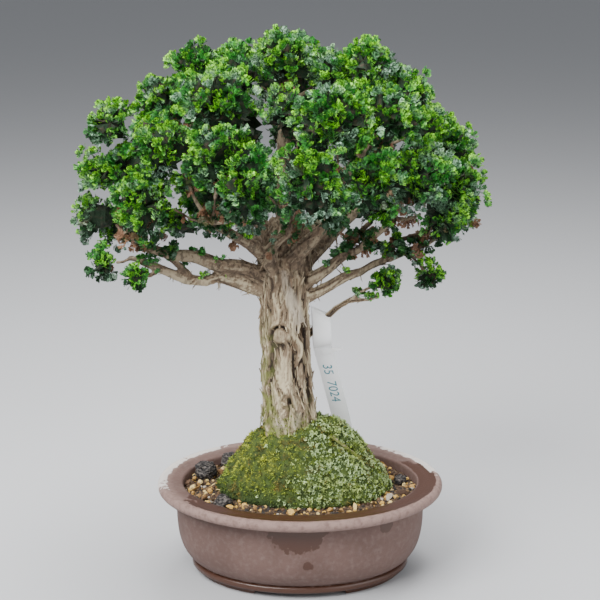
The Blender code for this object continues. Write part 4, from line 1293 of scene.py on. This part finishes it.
def grain(name, chance, squash, stretch=1.0, fineness=1):
    """Broken grain of substrate, one unit in radius."""
    shape = bmesh.new()
    bmesh.ops.create_icosphere(shape, subdivisions=fineness, radius=1.0)
    offset = Vector([chance.uniform(-9, 9) for _ in range(3)])
    points = []
    for v in shape.verts:
        p = v.co * (0.86 + 0.42 * noise.noise(v.co * 1.3 + offset) + 0.16 * noise.noise(v.co * 3.1 + offset))
        points.append(Vector((p.x * stretch, p.y, p.z * squash)))
    faces = [tuple(v.index for v in f.verts) for f in shape.faces]
    shape.free()
    return mesh_object(name, points, faces)


def moss_shoot(name, chance):
    """Upright moss shoot of pointed leaves, one unit tall."""
    points, faces, tips = [], [], []
    for k in range(4):
        turn = 2 * math.pi * k / 4 + chance.uniform(-0.5, 0.5)
        lean = chance.uniform(0.15, 0.8)
        end = Vector((math.cos(turn) * math.sin(lean), math.sin(turn) * math.sin(lean), math.cos(lean)))
        normal = Vector((-end.y, end.x, 0.05)).cross(end)
        kite(points, faces, tips, Vector((0, 0, -0.3)), end * chance.uniform(0.7, 1.15), 0.24, normal, 0, 1)
    obj = mesh_object(name, points, faces)
    paint(obj, "tip", tips)
    return obj


def lichen_flake(name, chance):
    """Cupped leafy flake with a lobed rim, one unit in radius."""
    rim = 7
    points, tips = [Vector((0, 0, 0))], [0.0]
    for k in range(rim):
        turn = 2 * math.pi * k / rim
        reach = chance.uniform(0.75, 1.1) if k % 2 else chance.uniform(0.4, 0.65)
        points.append(Vector((math.cos(turn) * reach, math.sin(turn) * reach, chance.uniform(0.1, 0.7))))
        tips.append(1.0)
    faces = [(0, 1 + k, 1 + (k + 1) % rim) for k in range(rim)]
    obj = mesh_object(name, points, faces)
    paint(obj, "tip", tips)
    return obj


class BONSAI_OT_moss(bpy.types.Operator):
    """Grows moss shoots and lichen on the mound at the trunk's foot"""

    bl_idname = "bonsai.moss"
    bl_label = "Moss"

    def execute(self, context):
        s = context.scene.bonsai_ground
        cushion = refined("moss_mound", "moss_cushion", 0.0025, 2)
        points, normals = points_of(cushion), normals_of(cushion)
        heights = lumpy(points, 0.003, 0.011) + lumpy(points, 0.0016, 0.0042)
        points += normals * heights[:, None] * np.clip((points[:, 2:3] - 0.0915) / 0.004, 0, 1)
        move_points(cushion, points)
        local = from_foot(points)
        paint(cushion, "tip", np.zeros(len(points)))
        x, y, z = local[:, 0], local[:, 1], local[:, 2]
        # Painted light: lime is laid on the top and the left of the mound, where the lamp falls, with young
        # moss's colour
        paint(cushion, "young_and_lit", np.clip((14 - x) / 40, 0, 1) * np.clip((z - 98) / 18, 0, 1))
        paint(cushion, "foot", np.clip((106 - z) / 12, 0, 1) * np.clip((40 - x) / 60, 0.35, 1))
        green = moss_growth()
        chance = random.Random(5)
        grown = np.clip((points[:, 2] - MOSS_FROM * MM) / 0.003, 0, 1)
        shoots = [moss_shoot("shoot_%d" % k, chance) for k in range(5)]
        sizes = (0.0017, 0.0048, -0.0004)
        cover(cushion, "moss_shoots", shoots, grown, sizes, green, s.shoots, wander=0.8)
        side = np.clip((x + 16 - 0.3 * y) / 46, 0, 1)
        patch = lumpy(points, 1.0, 0.015, (4, 4, 4))
        pale = np.clip(2.4 * (patch + 0.7 * side - 0.2), 0, 1) * grown * np.clip(side + 0.08, 0, 1)
        flakes = [lichen_flake("flake_%d" % k, chance) for k in range(2)]
        flakes += [moss_shoot("pale_shoot_%d" % k, chance) for k in range(4)]
        sizes = (0.0014, 0.0038, 0.001)
        cover(cushion, "lichen_flakes", flakes, pale, sizes, lichen_growth(), s.flakes, wander=0.7)
        settle(cushion, ["moss_mound"], [green])
        return {"FINISHED"}


class BONSAI_OT_soil(bpy.types.Operator):
    """Strews grains, nuggets, chips and clods over the soil"""

    bl_idname = "bonsai.soil"
    bl_label = "Soil"

    def execute(self, context):
        s = context.scene.bonsai_ground
        dress("soil", damp_soil())
        for node in ("drain_net_left", "drain_net_right"):
            dress(node, net_plastic())
        chance = random.Random(9)
        mixed = grain_mix("substrate_grains", [
            (0.0, "#2A2624"), (0.2, "#4A3628"), (0.38, "#6E563A"), (0.52, "#C29A4A"), (0.66, "#9A7645"),
            (0.76, "#D8BC7C"), (0.84, "#35302E"), (0.92, "#B0A698"),
        ])
        ochre = grain_mix("fired_clay_nuggets", [
            (0.0, "#B98F4C"), (0.24, "#CDA75A"), (0.46, "#7E5D38"), (0.62, "#D8BE80"), (0.76, "#5A4230"),
        ])
        ground = copy_of("soil", "open_soil")
        points, normals = points_of(ground), normals_of(ground)
        local = from_foot(points)
        out = [(local[:, k] - MOUND_MIDDLE[k]) / MOUND_HALF[k] for k in (0, 1)]
        on_top = (points[:, 2] > SOIL_TOP * MM) & (normals[:, 2] > 0.1)
        crowd = (on_top & (np.hypot(*out) > 0.93)).astype(float)
        grains = [grain("grain_%d" % k, chance, chance.uniform(0.65, 0.95)) for k in range(6)]
        nuggets = [grain("nugget_%d" % k, chance, chance.uniform(0.6, 0.85), 1.0, 2) for k in range(4)]
        chips = [grain("chip_%d" % k, chance, 0.22, 2.1) for k in range(3)]
        for name, shapes, sizes, material, spacing, seed in (
            ("soil_grains", grains, (0.0014, 0.0036, 0.0004), mixed, 1.0, 1),
            ("clay_nuggets", nuggets, (0.0022, 0.005, 0.0014), ochre, 2.9, 2),
            ("bark_chips", chips, (0.0022, 0.0042, 0.0028), mixed, 4.2, 4),
        ):
            cover(ground, name, shapes, crowd, sizes, material, spacing=spacing * s.grain, seed=seed)
        bpy.data.objects.remove(ground)
        charred = charred_clod()
        for node in CLOD_NODES:
            obj = refined(node, node.replace("clod", "lump"), 0.0009, 2)
            points, normals = points_of(obj), normals_of(obj)
            rough = lumpy(points, 0.0018, 0.0055) + lumpy(points, 0.0011, 0.002)
            move_points(obj, points + normals * rough[:, None])
            settle(obj, [node], [charred])
        return {"FINISHED"}


class BONSAI_OT_label(bpy.types.Operator):
    """Bends the plastic label round its limb and numbers it"""

    bl_idname = "bonsai.label"
    bl_label = "Label"

    def execute(self, context):
        s = context.scene.bonsai_label
        down = LABEL_RUN.normalized()
        front = (Vector((0, -1, 0)) + down * down.y).normalized()
        across = front.cross(down).normalized()
        line = [(-LABEL_BELOW, 0.0), (-70.0, 0.15), (-35.0, 0.2), (-3.5, 0.0)]
        for k in range(1, LOOP_STEPS):
            turn = 2 * math.pi * k / LOOP_STEPS
            line.append((LOOP_HEIGHT * (1 - math.cos(turn)) / 2, LOOP_DEPTH * math.sin(turn)))
        line.append((0.4, -2 * LABEL_THICKNESS))
        plastic = label_plastic()
        strip = self.strip(down, front, across, curve_through(line, 2))
        settle(strip, ["plant_label"], [plastic])
        half = LABEL_WIDTH / 2
        outline = [(-0.2 * half, -3.4), (half, -2.6), (2.1 * half, 0.6), (half, 3.0), (-0.2 * half, 3.4)]
        ends = [
            [place(SLIT + across * u - down * (v - 8) + front * (d + 0.12 * max(0, u))) for u, v in outline]
            for d in (0.1, LABEL_THICKNESS + 0.2)
        ]
        settle(rings_mesh("label_point", ends, False), [], [plastic])
        self.number(s, down, front, across)
        return {"FINISHED"}

    def strip(self, down, front, across, line):
        """Follows a line of (height above the slit, distance to the front) with the label's section."""
        rings = []
        for k, (height, depth) in enumerate(line):
            before, after = line[max(k - 1, 0)], line[min(k + 1, len(line) - 1)]
            run = Vector((after[0] - before[0], after[1] - before[1])).normalized()
            off = Vector((-run.y, run.x)) * LABEL_THICKNESS / 2
            half = LABEL_WIDTH / 2 - (1.2 if k in (0, len(line) - 1) else 0)
            rise = LOOP_RUN if height > 0 else -down
            ring = []
            for side, face in ((-1, -1), (1, -1), (1, 1), (-1, 1)):
                slope = 0.7 if side > 0 and height > 0 else 1.0
                p = SLIT + rise * (slope * height + face * off.x) + front * (depth + face * off.y)
                ring.append(place(p + across * side * half))
            rings.append(ring)
        obj = rings_mesh("label_strip", rings)
        obj.data.set_sharp_from_angle(angle=math.radians(30))
        return obj

    def number(self, s, down, front, across):
        """Plain digits that read down the strip."""
        text = bpy.data.curves.new("digits", "FONT")
        text.body = s.number
        text.size = DIGIT_SIZE * MM
        text.extrude = DIGIT_RELIEF * MM
        text.shear = DIGIT_SLANT
        obj = bpy.data.objects.new("digits", text)
        bpy.context.scene.collection.objects.link(obj)
        mesh = bpy.data.meshes.new_from_object(obj.evaluated_get(bpy.context.evaluated_depsgraph_get()))
        bpy.data.objects.remove(obj)
        over = front * (LABEL_THICKNESS / 2 + 0.3)
        start = place(SLIT + down * DIGITS_DOWN + across * DIGITS_ACROSS + over)
        turn = Matrix((down, across, front)).transposed().to_4x4()
        mesh.transform(Matrix.Translation(start) @ turn)
        piece = bpy.data.objects.new("label_number", mesh)
        bpy.context.scene.collection.objects.link(piece)
        settle(piece, [], [label_ink()])


class BONSAI_OT_stage(bpy.types.Operator):
    """Lays the pale floor, hangs the soft lights and sets the camera"""

    bl_idname = "bonsai.stage"
    bl_label = "Stage"

    def execute(self, context):
        s = context.scene.bonsai_stage
        half = FLOOR_HALF
        corners = [(-half, -half, 0), (half, -half, 0), (half, half, 0), (-half, half, 0)]
        floor = mesh_object("floor", corners, [(0, 1, 2, 3)])
        floor.data.materials.append(Finish("pale_floor", 0.7, s.floor).done())
        for name, (spot, size, share) in LAMPS.items():
            self.light(name, spot, size, share * s.power)
        world = bpy.data.worlds.new("studio")
        world.use_nodes = True
        back = world.node_tree.nodes["Background"].inputs
        back[0].default_value, back[1].default_value = SKY, SKY_STRENGTH
        context.scene.world = world
        lens = bpy.data.cameras.new("camera")
        lens.lens, lens.sensor_width = CAMERA_LENS, 36.0
        camera = bpy.data.objects.new("camera", lens)
        camera.location = POT_CENTRE + Vector(CAMERA_PLACE)
        camera.rotation_euler = (math.pi / 2 - CAMERA_PITCH, 0.0, 0.0)
        context.scene.collection.objects.link(camera)
        context.scene.camera = camera
        return {"FINISHED"}

    def light(self, name, spot, size, power):
        """A large soft light aimed at the middle of the tree."""
        lamp = bpy.data.lights.new(name, "AREA")
        lamp.size, lamp.energy = size, power
        obj = bpy.data.objects.new(name, lamp)
        obj.location = POT_CENTRE + Vector(spot)
        aim = POT_CENTRE + Vector(LAMP_AIM) - obj.location
        obj.rotation_euler = aim.to_track_quat("-Z", "Y").to_euler()
        bpy.context.scene.collection.objects.link(obj)


class BONSAI_PT_panel(bpy.types.Panel):
    """Lists the bonsai's sizes, colours and steps"""

    bl_idname = "BONSAI_PT_panel"
    bl_label = "Bonsai"
    bl_space_type = "VIEW_3D"
    bl_region_type = "UI"
    bl_category = "Bonsai"

    def draw(self, context):
        for title, group in SETTINGS.items():
            box = self.layout.box()
            box.label(text=title.capitalize())
            settings = getattr(context.scene, "bonsai_" + title)
            for key in group.__annotations__:
                box.prop(settings, key)
        for step in STEPS:
            self.layout.operator(step.bl_idname)


SETTINGS = {
    "pot": PotSettings, "wood": WoodSettings, "foliage": FoliageSettings, "ground": GroundSettings,
    "label": LabelSettings, "stage": StageSettings,
}
STEPS = (
    BONSAI_OT_stage, BONSAI_OT_pot, BONSAI_OT_soil, BONSAI_OT_moss, BONSAI_OT_wood, BONSAI_OT_label,
    BONSAI_OT_foliage,
)


def register():
    for made in (*SETTINGS.values(), *STEPS, BONSAI_PT_panel):
        bpy.utils.register_class(made)
    for title, group in SETTINGS.items():
        setattr(bpy.types.Scene, "bonsai_" + title, PointerProperty(type=group))


def unregister():
    for title in SETTINGS:
        delattr(bpy.types.Scene, "bonsai_" + title)
    for made in reversed((*SETTINGS.values(), *STEPS, BONSAI_PT_panel)):
        bpy.utils.unregister_class(made)


def main():
    register()
    bpy.ops.bonsai.stage()
    bpy.ops.bonsai.pot()
    bpy.ops.bonsai.soil()
    bpy.ops.bonsai.moss()
    bpy.ops.bonsai.wood()
    bpy.ops.bonsai.label()
    bpy.ops.bonsai.foliage()


if __name__ == "__main__":
    main()
